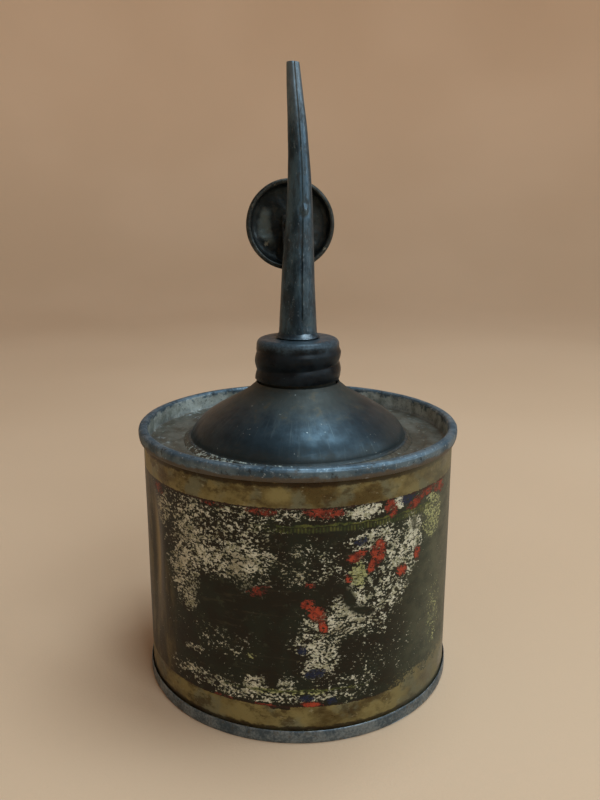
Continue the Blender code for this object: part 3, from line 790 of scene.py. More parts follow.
def end_steel(name, panel_r, panel_z):
    """Blue-grey rubbed seam, browned along its lower edge, and a brown-grey stained panel inside it."""
    f = Finish(name)
    clouds = f.noise(5.0, 5.0, 0.62)
    fine = f.noise(0.55, 4.0, 0.65)
    stain = f.noise(3.4, 6.0, 0.7, shift=0.31)
    drops = f.noise(1.5, 3.0, 0.6, shift=0.87)
    z = f.height()
    radius = f.radius()
    ragged = f.shaken(z, stain, 0.008)
    on_panel = f.band(ragged, (panel_z + 0.6) * MM, (panel_z + 2.0) * MM, 1.0, 0.0)
    on_panel = f.times(on_panel, f.band(radius, (panel_r + 0.2) * MM, (panel_r - 0.3) * MM))
    steel = f.over((0.052, 0.086, 0.115), clouds, 0.36, 0.64, (0.13, 0.188, 0.23))
    steel = f.over(steel, drops, 0.58, 0.68, (0.022, 0.03, 0.034), 0.75)
    steel = f.over(steel, fine, 0.59, 0.68, (0.38, 0.44, 0.48), 0.65)
    rusty = f.band(stain, 0.56, 0.66)
    steel = f.mix(f.times(rusty, 0.6), steel, (0.06, 0.05, 0.03))
    below = f.shaken(z, stain, 0.003)
    # browner along the lower part of the seam's face
    lower_edge_brown = f.times(f.band(below, (CAN_H - 1.5) * MM, (CAN_H - 2.1) * MM),
                   f.band(radius, (BODY_R + 0.1) * MM, (BODY_R + 0.4) * MM))
    steel = f.mix(f.times(lower_edge_brown, 0.85), steel, (0.075, 0.052, 0.026))
    panel = f.over((0.058, 0.05, 0.034), clouds, 0.38, 0.62, (0.11, 0.108, 0.088))
    panel = f.over(panel, stain, 0.5, 0.62, (0.036, 0.028, 0.016), 0.85)
    panel = f.over(panel, drops, 0.62, 0.7, (0.23, 0.25, 0.2), 0.8)
    colour = f.mix(on_panel, steel, panel)
    dusty = f.times(f.band(radius, (panel_r + 0.25) * MM, (panel_r + 0.05) * MM),
                   f.band(ragged, (CAN_H - 0.4) * MM, (CAN_H - 1.2) * MM))
    dusty = f.times(dusty, f.math('SUBTRACT', 1.0, on_panel))
    dust = f.over((0.21, 0.23, 0.2), clouds, 0.38, 0.62, (0.46, 0.5, 0.465))
    dust = f.over(dust, fine, 0.56, 0.68, (0.045, 0.045, 0.036), 0.7)
    colour = f.mix(dusty, colour, dust)
    rubbed = f.times(f.edges(0.515, 0.56), f.band(fine, 0.44, 0.66))
    colour = f.mix(f.times(rubbed, 0.6), colour, (0.4, 0.46, 0.5))
    dull = f.most(f.most(rusty, lower_edge_brown), dusty)
    roughness = f.blend(on_panel, f.band(clouds, 0.35, 0.65, 0.62, 0.46), 0.6)
    roughness = f.blend(dull, roughness, 0.6)
    metallic = f.blend(on_panel, f.blend(dull, 0.8, 0.3), 0.4)
    relief = f.bump(fine, 0.04)
    relief = f.bump(drops, 0.1, relief, 0.7)
    relief = f.bump(stain, 0.08, relief, 0.7)
    return f.output(colour, roughness, metallic, relief)


def make_bottom_end():
    panel = 3.0
    upper = BASE_HIGH.z
    foot_top = 2.8
    inner = CHUCK_R - TIN
    outline = [
        (0.0, upper - 0.02), (24.0, upper - 0.02), (25.0, upper - 0.4), (CHUCK_R - 0.4, upper - 0.4),
        (CHUCK_R, panel), (CHUCK_R, 0.75), (CHUCK_R + 0.2, 0.6), (HOOK_R - 0.2, 0.6), (HOOK_R, 0.8),
        (HOOK_R, foot_top - 0.1),
        (HOOK_R + 0.12, foot_top), (BASE_R - 0.04, foot_top - 0.3), (BASE_R, 1.4), (BASE_R - 0.02, 0.55),
        (BASE_R - 0.22, 0.1), (33.15, 0.0), (32.55, 0.0), (inner + 0.08, 0.25), (inner, panel - 0.4),
        (inner - 0.35, panel), (25.15, panel), (24.15, panel + 0.4), (12.3, panel + 0.4), (11.8, panel + 0.2),
        (11.3, panel + 0.4), (0.0, panel + 0.4),
    ]

    def warp(angle, r, z):
        if r > HOOK_R + 0.05:
            r -= 0.08 + seam_wave(angle, 9.0)
        return r, z

    outline = refined(rounded(outline, 0.25, closed=False, steps=4), 1.5, closed=False)
    mesh = turned_mesh("lower_end", outline, 360, closed=False, warp=warp)
    material = worn_metal("end_steel_base", (0.07, 0.098, 0.122), (0.215, 0.262, 0.295), (0.085, 0.07, 0.04),
                          rough=0.42, metallic=0.85, grain=4.0, stain_cover=0.46, pits=0.03,
                          edge=(0.28, 0.33, 0.36), shift=0.5)
    new_piece("lower_end", mesh, "can", "bottom_end", material)


make_top_end()
make_bottom_end()


# ================================================================ dome and neck

def dome_steel():
    """Oily blue-black steel with faint scratches down its slope, browned towards its edge."""
    f = Finish("dome_steel")
    clouds = f.noise(7.0, 4.0, 0.6)
    fine = f.noise(0.7, 4.0, 0.6)
    haze = f.noise(2.4, 5.0, 0.65, shift=0.4)
    x, y, z = f.split("X"), f.split("Y"), f.height()
    angle = f.math('ARCTAN2', y, x)
    around = f.node('ShaderNodeCombineXYZ')
    f.plug(f.times(angle, 0.024), around.inputs[0])
    f.plug(f.times(z, 0.14), around.inputs[1])
    streaks = f.node('ShaderNodeTexNoise')
    streaks.inputs["Scale"].default_value = 1500.0
    streaks.inputs["Detail"].default_value = 5.0
    f.plug(around.outputs[0], streaks.inputs["Vector"])
    lines = streaks.outputs[0]
    tone = f.band(f.plus(f.times(clouds, 0.6), f.times(haze, 0.4)), 0.36, 0.64)
    colour = f.mix(tone, (0.013, 0.023, 0.03), (0.028, 0.048, 0.062))
    colour = f.over(colour, lines, 0.56, 0.72, (0.075, 0.1, 0.108), 0.35)
    uneven = f.shaken(z, haze, 0.006)
    low = f.band(uneven, 0.0565, 0.0535)
    high = f.band(uneven, 0.0585, 0.063)
    side = f.band(x, 0.01, 0.021)
    brown = f.most(f.times(low, 0.35), f.times(side, 0.45))
    brown = f.most(brown, f.times(high, 0.65))
    colour = f.mix(brown, colour, (0.034, 0.036, 0.026))
    rust = f.times(f.band(haze, 0.56, 0.7), f.plus(brown, 0.15))
    colour = f.mix(rust, colour, (0.055, 0.048, 0.03))
    flecks = f.times(f.band(fine, 0.66, 0.71), f.band(clouds, 0.5, 0.62))
    colour = f.mix(flecks, colour, (0.3, 0.33, 0.31))
    roughness = f.plus(f.band(tone, 0.0, 1.0, 0.44, 0.36), f.times(brown, 0.25))
    roughness = f.shaken(roughness, lines, 0.2)
    metallic = f.blend(brown, 0.78, 0.4)
    relief = f.bump(lines, 0.012)
    relief = f.bump(haze, 0.05, relief, 0.5)
    return f.output(colour, roughness, metallic, relief)


DOME_STEEL = dome_steel()


def make_dome():
    flange_z = DOME_LOW.z + TIN
    flange_r = DOME_HIGH.x
    foot = 22.9
    middle = (17.0, 59.45)
    outer = [(flange_r, flange_z), (foot + 0.5, flange_z + 0.02)]
    outer += bezier((foot + 0.25, flange_z + 0.12), (foot, 55.4), (20.6, 57.4), middle, 26)
    outer += bezier(middle, (13.6, 61.35), (9.6, 63.3), (8.9, DOME_HIGH.z), 26)
    inner = []
    for k, point in enumerate(outer):
        before = Vector(outer[max(k - 1, 0)])
        after = Vector(outer[min(k + 1, len(outer) - 1)])
        along = (after - before).normalized()
        inner.append((point[0] - along.y * TIN, point[1] + along.x * TIN))
    outline = outer + inner[::-1]

    def warp(angle, r, z):
        ridge = 0.09 * bell(r, 10.0, 0.4)
        ripple = 0.05 * noise.noise(Vector((r * math.cos(angle), r * math.sin(angle), 2.0)) * 0.14)
        z += ridge + (ripple - 0.03) * smooth(z, 54.0, 56.0) * (1.0 - smooth(z, 62.5, 63.5))
        return r, z

    mesh = turned_mesh("domed_top", outline, 300, warp=warp)
    new_piece("domed_top", mesh, "can", "dome", DOME_STEEL)


def solder_grey(inner):
    """Brown-grey stained solder, blued next to the dome and flecked pale on the left."""
    f = Finish("solder_grey")
    chips = f.noise(0.9, 4.0, 0.7)
    clouds = f.noise(3.0, 4.0, 0.6)
    ragged = f.shaken(f.radius(), clouds, 0.002)
    colour = f.over((0.036, 0.032, 0.021), chips, 0.38, 0.62, (0.085, 0.082, 0.064))
    colour = f.over(colour, ragged, (inner + 1.0) * MM, (inner + 0.4) * MM, (0.026, 0.04, 0.048))
    pale = f.plus(chips, f.times(f.attribute("fleck"), 0.16))
    pale = f.band(pale, 0.64, 0.7)
    colour = f.mix(pale, colour, (0.34, 0.38, 0.34))
    return f.output(colour, f.band(clouds, 0.35, 0.65, 0.6, 0.4), 0.5, f.bump(chips, 0.08))


def make_dome_solder():
    inner = DOME_HIGH.x - 0.9
    outer = part_box("dome_solder")[1].x - 0.02
    floor = PANEL_Z - 0.05
    rise = DOME_LOW.z + TIN - floor
    outline = [(inner, floor + rise + 0.45), (inner + 0.35, floor + rise + 0.2), (inner + 0.9, floor + rise),
               (inner + 1.4, floor + rise * 0.62), (inner + 1.9, floor + rise * 0.32), (outer, floor),
               (inner, floor)]

    def warp(angle, r, z):
        spot = Vector((math.cos(angle) * 9.0, math.sin(angle) * 9.0, 0.5))
        lump = noise.noise(spot) * 0.5 + noise.noise(spot * 3.0) * 0.35
        if z > floor + 0.05:
            z += (0.03 + 0.12 * lump) * smooth(outer - r, 0.0, 0.8)
        if r > inner + 0.3:
            r -= 0.16 + 0.2 * lump
        return r, z

    mesh = turned_mesh("dome_solder_bead", refined(rounded(outline, 0.25, steps=3), 0.3), 420, warp=warp)
    paint(mesh, "fleck", lambda at: bell(front_angle(math.atan2(at.y, at.x)), math.radians(-38.0), 0.62))
    new_piece("dome_solder_bead", mesh, "can", "dome_solder", solder_grey(inner))


PITCH = 3.9
THREAD_H = 0.4
THREAD_CREST_Z = 67.55
COLLAR_ROOT_R = COLLAR_HIGH.x - THREAD_H
SHOULDER_Z = COLLAR_HIGH.z - 1.3


def thread_rise(angle, z):
    """Height of the rolled right-hand thread, 0 at its root."""
    phase = (z - THREAD_CREST_Z) / PITCH - angle / TURN
    return THREAD_H * (0.5 + 0.5 * math.cos(TURN * phase)) ** 0.5


def thread_ring(radius, z, steps, share=0.0, wobble=0.0):
    ring = []
    for k in range(steps):
        angle = TURN * k / steps
        r = radius + share * thread_rise(angle, z)
        r += wobble * noise.noise(Vector((math.cos(angle) * 2.0, math.sin(angle) * 2.0, z * 0.6)))
        ring.append((r * math.cos(angle), r * math.sin(angle), z))
    return ring


def levels(low, high, step):
    count = max(1, round((high - low) / step))
    return [low + (high - low) * k / count for k in range(count + 1)]


def make_screw_neck():
    outer_r = COLLAR_ROOT_R - 0.7
    bore = 7.4
    low = COLLAR_LOW.z + 0.3
    top = NECK_HIGH.z
    steps = 128
    rings = []
    flange = NECK_HIGH.x - 0.02
    foot = NECK_LOW.z
    for r, z in ((bore, foot), (flange, foot), (flange, foot + 0.4), (8.2, foot + 1.6), (outer_r, low - 0.7)):
        rings.append(thread_ring(r, z, steps))
    for z in levels(low, top - 0.25, 0.16):
        rings.append(thread_ring(outer_r, z, steps, 1.0 - smooth(z, top - 1.2, top - 0.3)))
    for r, z in ((outer_r - 0.1, top - 0.05), (outer_r - 0.2, top), (bore + 0.05, top), (bore, top - 0.05)):
        rings.append(thread_ring(r, z, steps))
    mesh = ring_mesh("filler_neck", rings)
    new_piece("filler_neck", mesh, "can", "screw_neck", DOME_STEEL)


make_dome()
make_dome_solder()
make_screw_neck()


# ================================================================ collar, washer and spout

def collar_steel():
    """Near-black oily enamel, rubbed to grey steel on its crests, with painted shade in the thread's hollows
    and a painted highlight over the shoulder.
    """
    f = Finish("collar_steel")
    clouds = f.noise(3.5, 5.0, 0.6)
    fine = f.noise(0.45, 4.0, 0.65)
    grime = f.noise(1.4, 6.0, 0.7, stretch=(0.7, 0.7, 1.6), shift=0.3)
    colour = f.over((0.004, 0.006, 0.008), clouds, 0.36, 0.62, (0.009, 0.014, 0.018))
    colour = f.over(colour, grime, 0.54, 0.66, (0.01, 0.009, 0.007), 0.6)
    rub = f.times(f.edges(0.515, 0.56), f.band(fine, 0.46, 0.66))
    colour = f.mix(f.times(rub, 0.35), colour, (0.1, 0.125, 0.14))
    # painted shade darkening the thread's hollows
    colour = f.mix(f.times(f.edges(0.49, 0.44), 0.85), colour, (0.004, 0.004, 0.003))
    # painted highlight: lighter blue over the shoulder and top
    top = f.band(f.shaken(f.height(), clouds, 0.003),
                 (SHOULDER_Z - 0.9) * MM, (SHOULDER_Z + 0.5) * MM)
    colour = f.mix(f.times(top, f.band(fine, 0.35, 0.62, 0.35, 0.9)), colour, (0.05, 0.076, 0.096))
    chips = f.band(fine, 0.7, 0.75)
    colour = f.mix(f.times(chips, 0.8), colour, (0.1, 0.11, 0.11))
    roughness = f.band(clouds, 0.35, 0.65, 0.3, 0.46)
    roughness = f.shaken(roughness, grime, 0.35)
    relief = f.bump(grime, 0.04, None, 0.6)
    relief = f.bump(fine, 0.015, relief, 0.7)
    return f.output(colour, roughness, f.blend(rub, 0.25, 0.85), relief, Specular_IOR_Level=0.15)


COLLAR_STEEL = collar_steel()


def cut_vent(piece):
    """Cut the round air vent through the collar's top, under the leather pad."""
    radius, depth = 0.4, 3.0
    bm = bmesh.new()
    vent = (SEAT_LOW + SEAT_HIGH) * 0.5
    place = Vector((vent.x, vent.y, COLLAR_HIGH.z)) * MM
    bmesh.ops.create_cone(bm, cap_ends=True, segments=32, radius1=radius * MM, radius2=radius * MM,
                          depth=depth * MM, matrix=Matrix.Translation(place))
    cutter = bpy.data.objects.new("vent_cutter", finish_mesh("vent_cutter", bm))
    bpy.context.scene.collection.objects.link(cutter)
    cut = piece.modifiers.new("Vent", 'BOOLEAN')
    cut.object = cutter
    cut.solver = 'EXACT'
    bpy.context.view_layer.update()
    shaped = bpy.data.meshes.new_from_object(piece.evaluated_get(bpy.context.evaluated_depsgraph_get()))
    piece.modifiers.clear()
    piece.data = shaped
    bpy.data.objects.remove(cutter)


def make_collar():
    """The pressed cap: a threaded wall, a rounded shoulder and a flat top with the spout's hole."""
    steps = 160
    shoulder = COLLAR_HIGH.z - SHOULDER_Z
    centre = COLLAR_ROOT_R - shoulder
    thread_end = SHOULDER_Z - 0.4
    tin = 0.4
    hole = 4.3
    wall = levels(COLLAR_LOW.z, SHOULDER_Z, 0.15)
    turns = [math.radians(5.0 + 85.0 * k / 11) for k in range(12)]

    def share(z):
        return 1.0 - smooth(z, thread_end - 1.3, thread_end)

    rings = []
    for z in wall:
        rings.append(thread_ring(COLLAR_ROOT_R, z, steps, share(z), 0.03))
    for angle in turns:
        rings.append(thread_ring(centre + shoulder * math.cos(angle),
                                 SHOULDER_Z + shoulder * math.sin(angle), steps))
    for r in (7.0, 6.4, 5.6, 5.0):
        rings.append(thread_ring(r, COLLAR_HIGH.z, steps))
    rings.append(thread_ring(hole + 0.1, COLLAR_HIGH.z, steps))
    rings.append(thread_ring(hole, COLLAR_HIGH.z - 0.1, steps))
    rings.append(thread_ring(hole, COLLAR_HIGH.z - tin, steps))
    for angle in turns[::-1]:
        rings.append(thread_ring(centre + (shoulder - tin) * math.cos(angle),
                                 SHOULDER_Z + (shoulder - tin) * math.sin(angle), steps))
    for z in wall[::-1]:
        rings.append(thread_ring(COLLAR_ROOT_R - tin, z, steps, share(z)))
    mesh = ring_mesh("screw_collar", rings)
    cut_vent(new_piece("screw_collar", mesh, "spout", "spout_collar", COLLAR_STEEL))


def oiled_cork():
    """Cork grains, darkened by oil."""
    f = Finish("oiled_cork")
    grains = f.cells(0.9)
    clouds = f.noise(2.5, 3.0, 0.6)
    colour = f.over((0.1, 0.055, 0.028), grains, 0.15, 0.6, (0.27, 0.165, 0.085))
    colour = f.over(colour, clouds, 0.45, 0.65, (0.05, 0.03, 0.018), 0.7)
    return f.output(colour, f.band(clouds, 0.4, 0.6, 0.85, 0.55), 0.0, f.bump(grains, 0.15))


def make_washer():
    low, high = part_box("sealing_washer")
    inner = 6.12
    outer = high.x
    outline = [(inner, high.z), (outer - 0.2, high.z), (outer, high.z - 0.25), (outer, low.z), (inner, low.z)]

    def warp(angle, r, z):
        spot = Vector((r * math.cos(angle), r * math.sin(angle), z)) * 1.3
        r += (0.06 * noise.noise(spot) - 0.04) * (1 if r > 7 else -1)
        return r, z

    outline = refined(rounded(outline, 0.3, steps=4), 0.25)
    mesh = turned_mesh("cork_washer", outline, 140, warp=warp)
    new_piece("cork_washer", mesh, "washer", "sealing_washer", oiled_cork())


SPOUT_SECTIONS = (
    (73.0, 4.00, 0.00), (75.2, 4.03, 0.00), (77.0, 3.97, 0.00), (81.0, 3.76, 0.00), (85.0, 3.57, 0.02),
    (90.0, 3.32, 0.1), (97.2, 2.93, 0.3), (106.0, 2.46, 0.32), (110.0, 2.24, 0.22), (117.6, 1.89, -0.18),
    (123.0, 1.62, -0.58), (128.8, 1.27, -1.02),
)
LAP_ANGLE = -math.pi / 2 + VIEW_ANGLE + math.radians(14.0)


def spout_at(z):
    """Radius and lean of the spout at a height, on smooth curves through its sections."""
    for k in range(len(SPOUT_SECTIONS) - 1):
        if z <= SPOUT_SECTIONS[k + 1][0] or k == len(SPOUT_SECTIONS) - 2:
            break
    a, b = SPOUT_SECTIONS[k], SPOUT_SECTIONS[k + 1]
    before = SPOUT_SECTIONS[max(k - 1, 0)]
    after = SPOUT_SECTIONS[min(k + 2, len(SPOUT_SECTIONS) - 1)]
    span = b[0] - a[0]
    t = (z - a[0]) / span
    values = []
    for i in (1, 2):
        slope_a = (b[i] - before[i]) / (b[0] - before[0]) * span
        slope_b = (after[i] - a[i]) / (after[0] - a[0]) * span
        values.append(a[i] * (2 * t ** 3 - 3 * t * t + 1) + slope_a * (t ** 3 - 2 * t * t + t)
                      + b[i] * (3 * t * t - 2 * t ** 3) + slope_b * (t ** 3 - t * t))
    return values


def spout_relief(angle, z, radius):
    """Outward shape on the round spout, mm: hammered flats, the lap of the rolled sheet, a pimple."""
    around = angle_gap(angle, LAP_ANGLE)
    s = around * radius
    upper = smooth(z, 76.5, 79.0)
    lap = 0.14 * (smooth(s, -0.05, 0.12) - smooth(around, 0.2, 2.6)) * upper
    groove = -0.2 * bell(s, -0.14, 0.17) * upper * (1.0 - 0.85 * smooth(z, 96.0, 101.0))
    flats = -0.022 * radius * (0.5 + 0.5 * math.cos(3.0 * angle_gap(angle, LAP_ANGLE - 0.75))) * upper
    place = Vector((s - 0.35, (z - 100.6) * 0.8))
    pimple = 0.3 * math.exp(-(place.length / 0.62) ** 2) - 0.1 * math.exp(-((place.length - 1.05) / 0.3) ** 2)
    hammer = 0.06 * noise.noise(Vector((math.cos(angle) * 1.2, math.sin(angle) * 1.2, z * 0.22)))
    return lap + groove + flats + pimple + hammer - 0.02


def spout_steel():
    """Blue-grey steel with grime and fine lines along it, a painted reflection in a band just past the lap,
    painted shade in its hollows, and brighter at the tip.
    """
    f = Finish("spout_steel")
    clouds = f.noise(3.0, 5.0, 0.62, stretch=(1.0, 1.0, 0.45))
    fine = f.noise(0.5, 4.0, 0.65, stretch=(1.0, 1.0, 0.5))
    lines = f.noise(0.35, 6.0, 0.75, stretch=(1.0, 1.0, 0.05), shift=0.3)
    grime = f.noise(1.6, 5.0, 0.7, stretch=(1.0, 1.0, 0.35), shift=0.6)
    colour = f.over((0.014, 0.028, 0.04), clouds, 0.36, 0.64, (0.06, 0.11, 0.152))
    # painted reflection: a lighter band just past the lap's edge
    colour = f.mix(f.times(f.attribute("lap"), f.band(fine, 0.35, 0.65, 0.1, 0.6)), colour,
                   (0.095, 0.135, 0.165))
    colour = f.over(colour, lines, 0.56, 0.7, (0.1, 0.15, 0.19), 0.4)
    colour = f.over(colour, grime, 0.5, 0.62, (0.014, 0.02, 0.022), 0.7)
    colour = f.over(colour, fine, 0.6, 0.68, (0.15, 0.2, 0.235), 0.7)
    # painted shade darkening the hollows, such as the groove beside the lap
    colour = f.mix(f.times(f.edges(0.485, 0.42), 0.8), colour, (0.008, 0.009, 0.009))
    tip = f.band(f.shaken(f.height(), fine, 0.02), 0.113, 0.126)
    colour = f.mix(f.times(tip, 0.45), colour, (0.2, 0.26, 0.3))
    roughness = f.band(clouds, 0.35, 0.65, 0.5, 0.36)
    roughness = f.shaken(roughness, lines, 0.3)
    relief = f.bump(lines, 0.02, None, 0.8)
    relief = f.bump(grime, 0.05, relief, 0.5)
    return f.output(colour, roughness, f.band(grime, 0.5, 0.66, 0.8, 0.4), relief)


SPOUT_STEEL = spout_steel()


def make_spout():
    steps = 112
    low, high = SPOUT_LOW.z, SPOUT_HIGH.z
    heights = levels(low, high - 0.12, 0.4)
    outside, inside = [], []
    for z in heights:
        radius, lean = spout_at(z)
        ring, core = [], []
        for k in range(steps):
            angle = TURN * k / steps
            r = radius + (spout_relief(angle, z, radius) if z > 76.5 else 0.0)
            wall = radius - 0.35
            ring.append((lean + r * math.cos(angle), r * math.sin(angle), z))
            core.append((lean + wall * math.cos(angle), wall * math.sin(angle), z))
        outside.append(ring)
        inside.append(core)
    radius, lean = spout_at(high)
    lip = []
    for inset in (0.1, 0.2, 0.29):
        lip.append([(lean + (radius - inset) * math.cos(TURN * k / steps),
                     (radius - inset) * math.sin(TURN * k / steps),
                     high - (0.0 if inset == 0.2 else 0.03)) for k in range(steps)])
    mesh = ring_mesh("rolled_spout", outside + lip + inside[::-1], sharp=50.0)

    def lap_band_sheen(at):
        """Where the painted reflection goes: 1 on the lapped sheet just past its edge, fading round to the
        side.
        """
        lean = spout_at(at.z)[1]
        around = angle_gap(math.atan2(at.y, at.x - lean), LAP_ANGLE)
        return smooth(around, 0.0, 0.12) * (1.0 - smooth(around, 0.5, 1.6))

    # the lap attribute holds the painted reflection band
    paint(mesh, "lap", lap_band_sheen)
    new_piece("rolled_spout", mesh, "spout", "spout_tube", SPOUT_STEEL)


def solder_dark():
    """Dark solder, with a painted highlight on its thick drop at the front right."""
    f = Finish("solder_dark")
    clouds = f.noise(1.2, 5.0, 0.65)
    fine = f.noise(0.4, 3.0, 0.6)
    colour = f.over((0.018, 0.03, 0.04), clouds, 0.38, 0.62, (0.05, 0.078, 0.098))
    # painted highlight on the drop at the front right
    solder_highlight = f.band(f.plus(f.attribute("bright"), f.math('SUBTRACT', clouds, 0.5)), 0.55, 1.0)
    colour = f.mix(solder_highlight, colour, (0.17, 0.21, 0.24))
    return f.output(colour, f.blend(solder_highlight, 0.52, 0.4), 0.75, f.bump(fine, 0.02))


def make_spout_solder():
    """A drawn-up fillet of solder, thicker where the iron was lifted off, with a painted highlight there."""
    low, high = part_box("spout_solder")
    inner = 3.88
    floor = low.z + 0.01
    top = high.z - 0.1
    outline = [(inner, top)]
    outline += bezier((inner + 0.1, top), (4.08, 75.7), (4.14, 74.9), (high.x - 0.05, floor), 14)
    outline += [(inner, floor)]
    lift_off = VIEW_ANGLE + math.radians(24.0)

    def drop(angle):
        return bell(angle_gap(angle, -math.pi / 2 + lift_off), 0.0, 0.42)

    def warp(angle, r, z):
        rise = smooth(z, floor + 0.2, floor + 2.0)
        uneven = noise.noise(Vector((math.cos(angle) * 2.5, math.sin(angle) * 2.5, 1.0)))
        z += rise * (0.5 * uneven - 0.35 + 0.3 * drop(angle))
        if r > inner + 0.01 and z > floor + 0.1:
            r += 0.12 * drop(angle) * (1.0 - smooth(z, 75.6, 76.6))
        return r, z

    mesh = turned_mesh("spout_solder_fillet", refined(outline, 0.15), 160, warp=warp)
    # the bright attribute places the painted highlight on the drop
    paint(mesh, "bright", lambda at: drop(math.atan2(at.y, at.x)))
    new_piece("spout_solder_fillet", mesh, "spout", "spout_solder", solder_dark())


make_collar()
make_washer()
make_spout()
make_spout_solder()


# ================================================================ thumb button

def button_steel():
    """Dark oily steel, worn to grey along the rim, with a painted highlight on the left of the dish."""
    f = Finish("button_steel")
    clouds = f.noise(3.2, 5.0, 0.65)
    fine = f.noise(0.5, 4.0, 0.65)
    grime = f.noise(1.9, 6.0, 0.72, shift=0.5)
    colour = f.over((0.01, 0.014, 0.015), clouds, 0.38, 0.62, (0.032, 0.042, 0.045))
    colour = f.over(colour, grime, 0.54, 0.66, (0.022, 0.019, 0.012), 0.7)
    # painted highlight: the worn attribute marks a lighter crescent on the dish's left
    worn = f.band(f.plus(f.attribute("worn"), f.math('SUBTRACT', clouds, 0.5)), 0.35, 0.85)
    colour = f.mix(f.times(worn, 0.8), colour, (0.105, 0.135, 0.135))
    colour = f.over(colour, fine, 0.64, 0.72, (0.1, 0.13, 0.14), 0.6)
    rub = f.times(f.edges(0.51, 0.56), f.band(fine, 0.38, 0.6))
    colour = f.mix(f.times(rub, 0.75), colour, (0.27, 0.25, 0.19))
    roughness = f.band(clouds, 0.35, 0.65, 0.48, 0.3)
    relief = f.bump(grime, 0.1, None, 0.7)
    relief = f.bump(fine, 0.03, relief, 0.7)
    return f.output(colour, roughness, f.band(grime, 0.5, 0.66, 0.75, 0.35), relief)


def make_button():
    """The dished disc: a thin floor, a coved wall and a rolled rim, slightly knocked about."""
    back_y = BUTTON_HIGH.y
    centre_z = (BUTTON_LOW.z + BUTTON_HIGH.z) / 2
    roll = 0.54
    rim_r, rim_z = BUTTON_HIGH.x - 0.55, 2.55
    outline = [(0.9, 0.4), (rim_r - 3.1, 0.4)]
    outline += bezier((rim_r - 2.7, 0.42), (rim_r - 1.3, 0.55), (rim_r - 0.65, 1.2), (rim_r - 0.52, 2.3), 10)
    for k in range(17):
        spread = math.radians(160.0 - 250.0 * k / 16)
        outline.append((rim_r + roll * math.cos(spread), rim_z + roll * math.sin(spread)))
    outline += bezier((rim_r - 0.22, 1.9), (rim_r - 0.4, 0.9), (rim_r - 1.0, 0.02), (rim_r - 2.3, 0.02), 10)
    outline += [(0.9, 0.02)]
    outline = refined(outline, 0.5)

    def warp(angle, r, z):
        spot = Vector((r * math.cos(angle), r * math.sin(angle), 4.0))
        if r < rim_r - 1.3:
            fade = smooth(r, 1.0, 2.2) * (1.0 - smooth(r, rim_r - 2.5, rim_r - 1.3))
            z += fade * (0.16 * noise.noise(spot * 0.42) + 0.06 * noise.noise(spot * 1.1) + 0.02)
            z = max(z, 0.02)
        elif r > rim_r - 0.4:
            r -= 0.03 + 0.04 * noise.noise(spot * 0.2)
        return r, z

    mesh = turned_mesh("dished_button", outline, 160, warp=warp)
    lay_back(mesh, back_y, centre_z)

    def dish_sheen(at):
        across, up = at.x, at.z - centre_z
        spread = angle_gap(math.atan2(up, across), math.radians(190.0))
        return bell(math.hypot(across, up), 5.4, 1.9) * bell(spread, 0.0, 1.1)

    # painted highlight on the dish's left, stored as worn
    paint(mesh, "worn", dish_sheen)
    new_piece("dished_button", mesh, "lever", "thumb_button", button_steel())


make_button()


# ================================================================ lever, pivot, spring and vent

def coil_ring(y, z, coil, wire, turned, around=10):
    """Points round the wire of a coil about Y, after some turns."""
    ring = []
    for step in range(around):
        side = TURN * step / around
        r = coil + wire * math.cos(side)
        ring.append((r * math.cos(TURN * turned), y + wire * math.sin(side), z + r * math.sin(TURN * turned)))
    return ring


def make_spring():
    """The return spring, with closed ends."""
    low, high = part_box("return_spring")
    wire = 0.17
    coil = high.x - wire
    middle_z = (low.z + high.z) / 2
    length = high.y - low.y - 2.0 * wire
    turns, per_turn = 4, 32
    end_pitch = 2.0 * wire / length
    open_pitch = (1.0 - 2.0 * end_pitch) / (turns - 2)
    rings = []
    for k in range(turns * per_turn + 1):
        turned = k / per_turn
        share = end_pitch * (min(turned, 1.0) + max(turned - turns + 1, 0.0))
        share += open_pitch * min(max(turned - 1.0, 0.0), turns - 2)
        rings.append(coil_ring(low.y + wire + length * share, middle_z, coil, wire, turned))
    caps = [[tuple(sum(point[axis] for point in ring) / len(ring) for axis in range(3))]
            for ring in (rings[0], rings[-1])]
    rings = [caps[0]] + rings + [caps[1]]
    mesh = ring_mesh("coil_spring", rings, closed=False, sharp=60.0)
    material = worn_metal("spring_wire", (0.06, 0.062, 0.06), (0.18, 0.185, 0.18), (0.06, 0.042, 0.024),
                          rough=0.3, metallic=0.9, grain=0.8, stain_cover=0.46, pits=0.006, shift=1.7)
    spring = new_piece("coil_spring", mesh, "spout", "return_spring", material)
    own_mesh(spring)


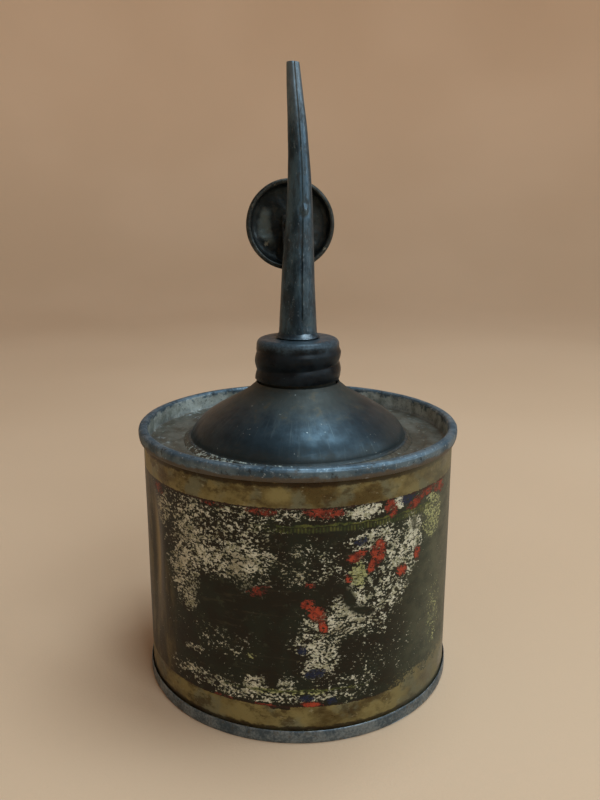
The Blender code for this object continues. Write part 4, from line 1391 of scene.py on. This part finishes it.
def softened(name, node, width):
    """A copy of a CAD node's mesh with its sharp edges rounded, by width in mm."""
    bm = bmesh.new()
    bm.from_mesh(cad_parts[node].data)
    bmesh.ops.remove_doubles(bm, verts=bm.verts, dist=1e-6)
    bmesh.ops.dissolve_limit(bm, angle_limit=math.radians(1.0), verts=bm.verts, edges=bm.edges)
    corners = [edge for edge in bm.edges if edge.calc_face_angle(0.0) > math.radians(35.0)]
    bmesh.ops.bevel(bm, geom=corners, offset=width * MM, offset_type='OFFSET', segments=2, profile=0.5,
                    affect='EDGES', clamp_overlap=True)
    return finish_mesh(name, bm, sharp=50.0)


def oiled_leather():
    f = Finish("oiled_leather")
    pores = f.cells(0.25)
    clouds = f.noise(0.8, 4.0, 0.6)
    hide = f.over((0.045, 0.026, 0.016), clouds, 0.4, 0.6, (0.11, 0.066, 0.04))
    return f.output(hide, f.band(clouds, 0.4, 0.6, 0.6, 0.8), 0.0, f.bump(pores, 0.03))


def make_lever_parts():
    lever_steel = worn_metal("lever_steel", (0.012, 0.015, 0.016), (0.05, 0.06, 0.064), (0.034, 0.027, 0.016),
                             rough=0.38, metallic=0.7, grain=2.0, stain_cover=0.47, pits=0.012, shift=1.1)
    pin_steel = worn_metal("pin_steel", (0.06, 0.066, 0.068), (0.19, 0.2, 0.2), (0.07, 0.05, 0.03),
                           rough=0.32, metallic=0.9, grain=1.2, stain_cover=0.46, pits=0.01, shift=1.4)
    vent_solder = worn_metal("vent_solder", (0.045, 0.052, 0.055), (0.13, 0.145, 0.15), (0.05, 0.042, 0.026),
                             rough=0.42, metallic=0.75, grain=0.9, stain_cover=0.46, pits=0.01, shift=2.1)
    leather = oiled_leather()
    parts = (
        ("strap_lever", "thumb_lever", "lever", "collar_steel", lever_steel, 0.09),
        ("disc_rivet", "button_rivet", "lever", "spring_steel", lever_steel, 0.16),
        ("pad_cup", "pad_holder", "lever", "spring_steel", pin_steel, 0.06),
        ("leather_pad", "valve_pad", "lever", "leather", leather, 0.06),
        ("pivot_bracket", "lever_bracket", "spout", "collar_steel", lever_steel, 0.08),
        ("pivot_pin", "lever_pin", "spout", "spring_steel", pin_steel, 0.12),
        ("spring_cup", "spring_seat", "spout", "spout_steel", SPOUT_STEEL, 0.07),
        ("vent_lip", "vent_seat", "spout", "solder", vent_solder, 0.05),
    )
    for name, node, body, slot, material, width in parts:
        new_piece(name, softened(name, node, width), body, node, material)


make_spring()
make_lever_parts()
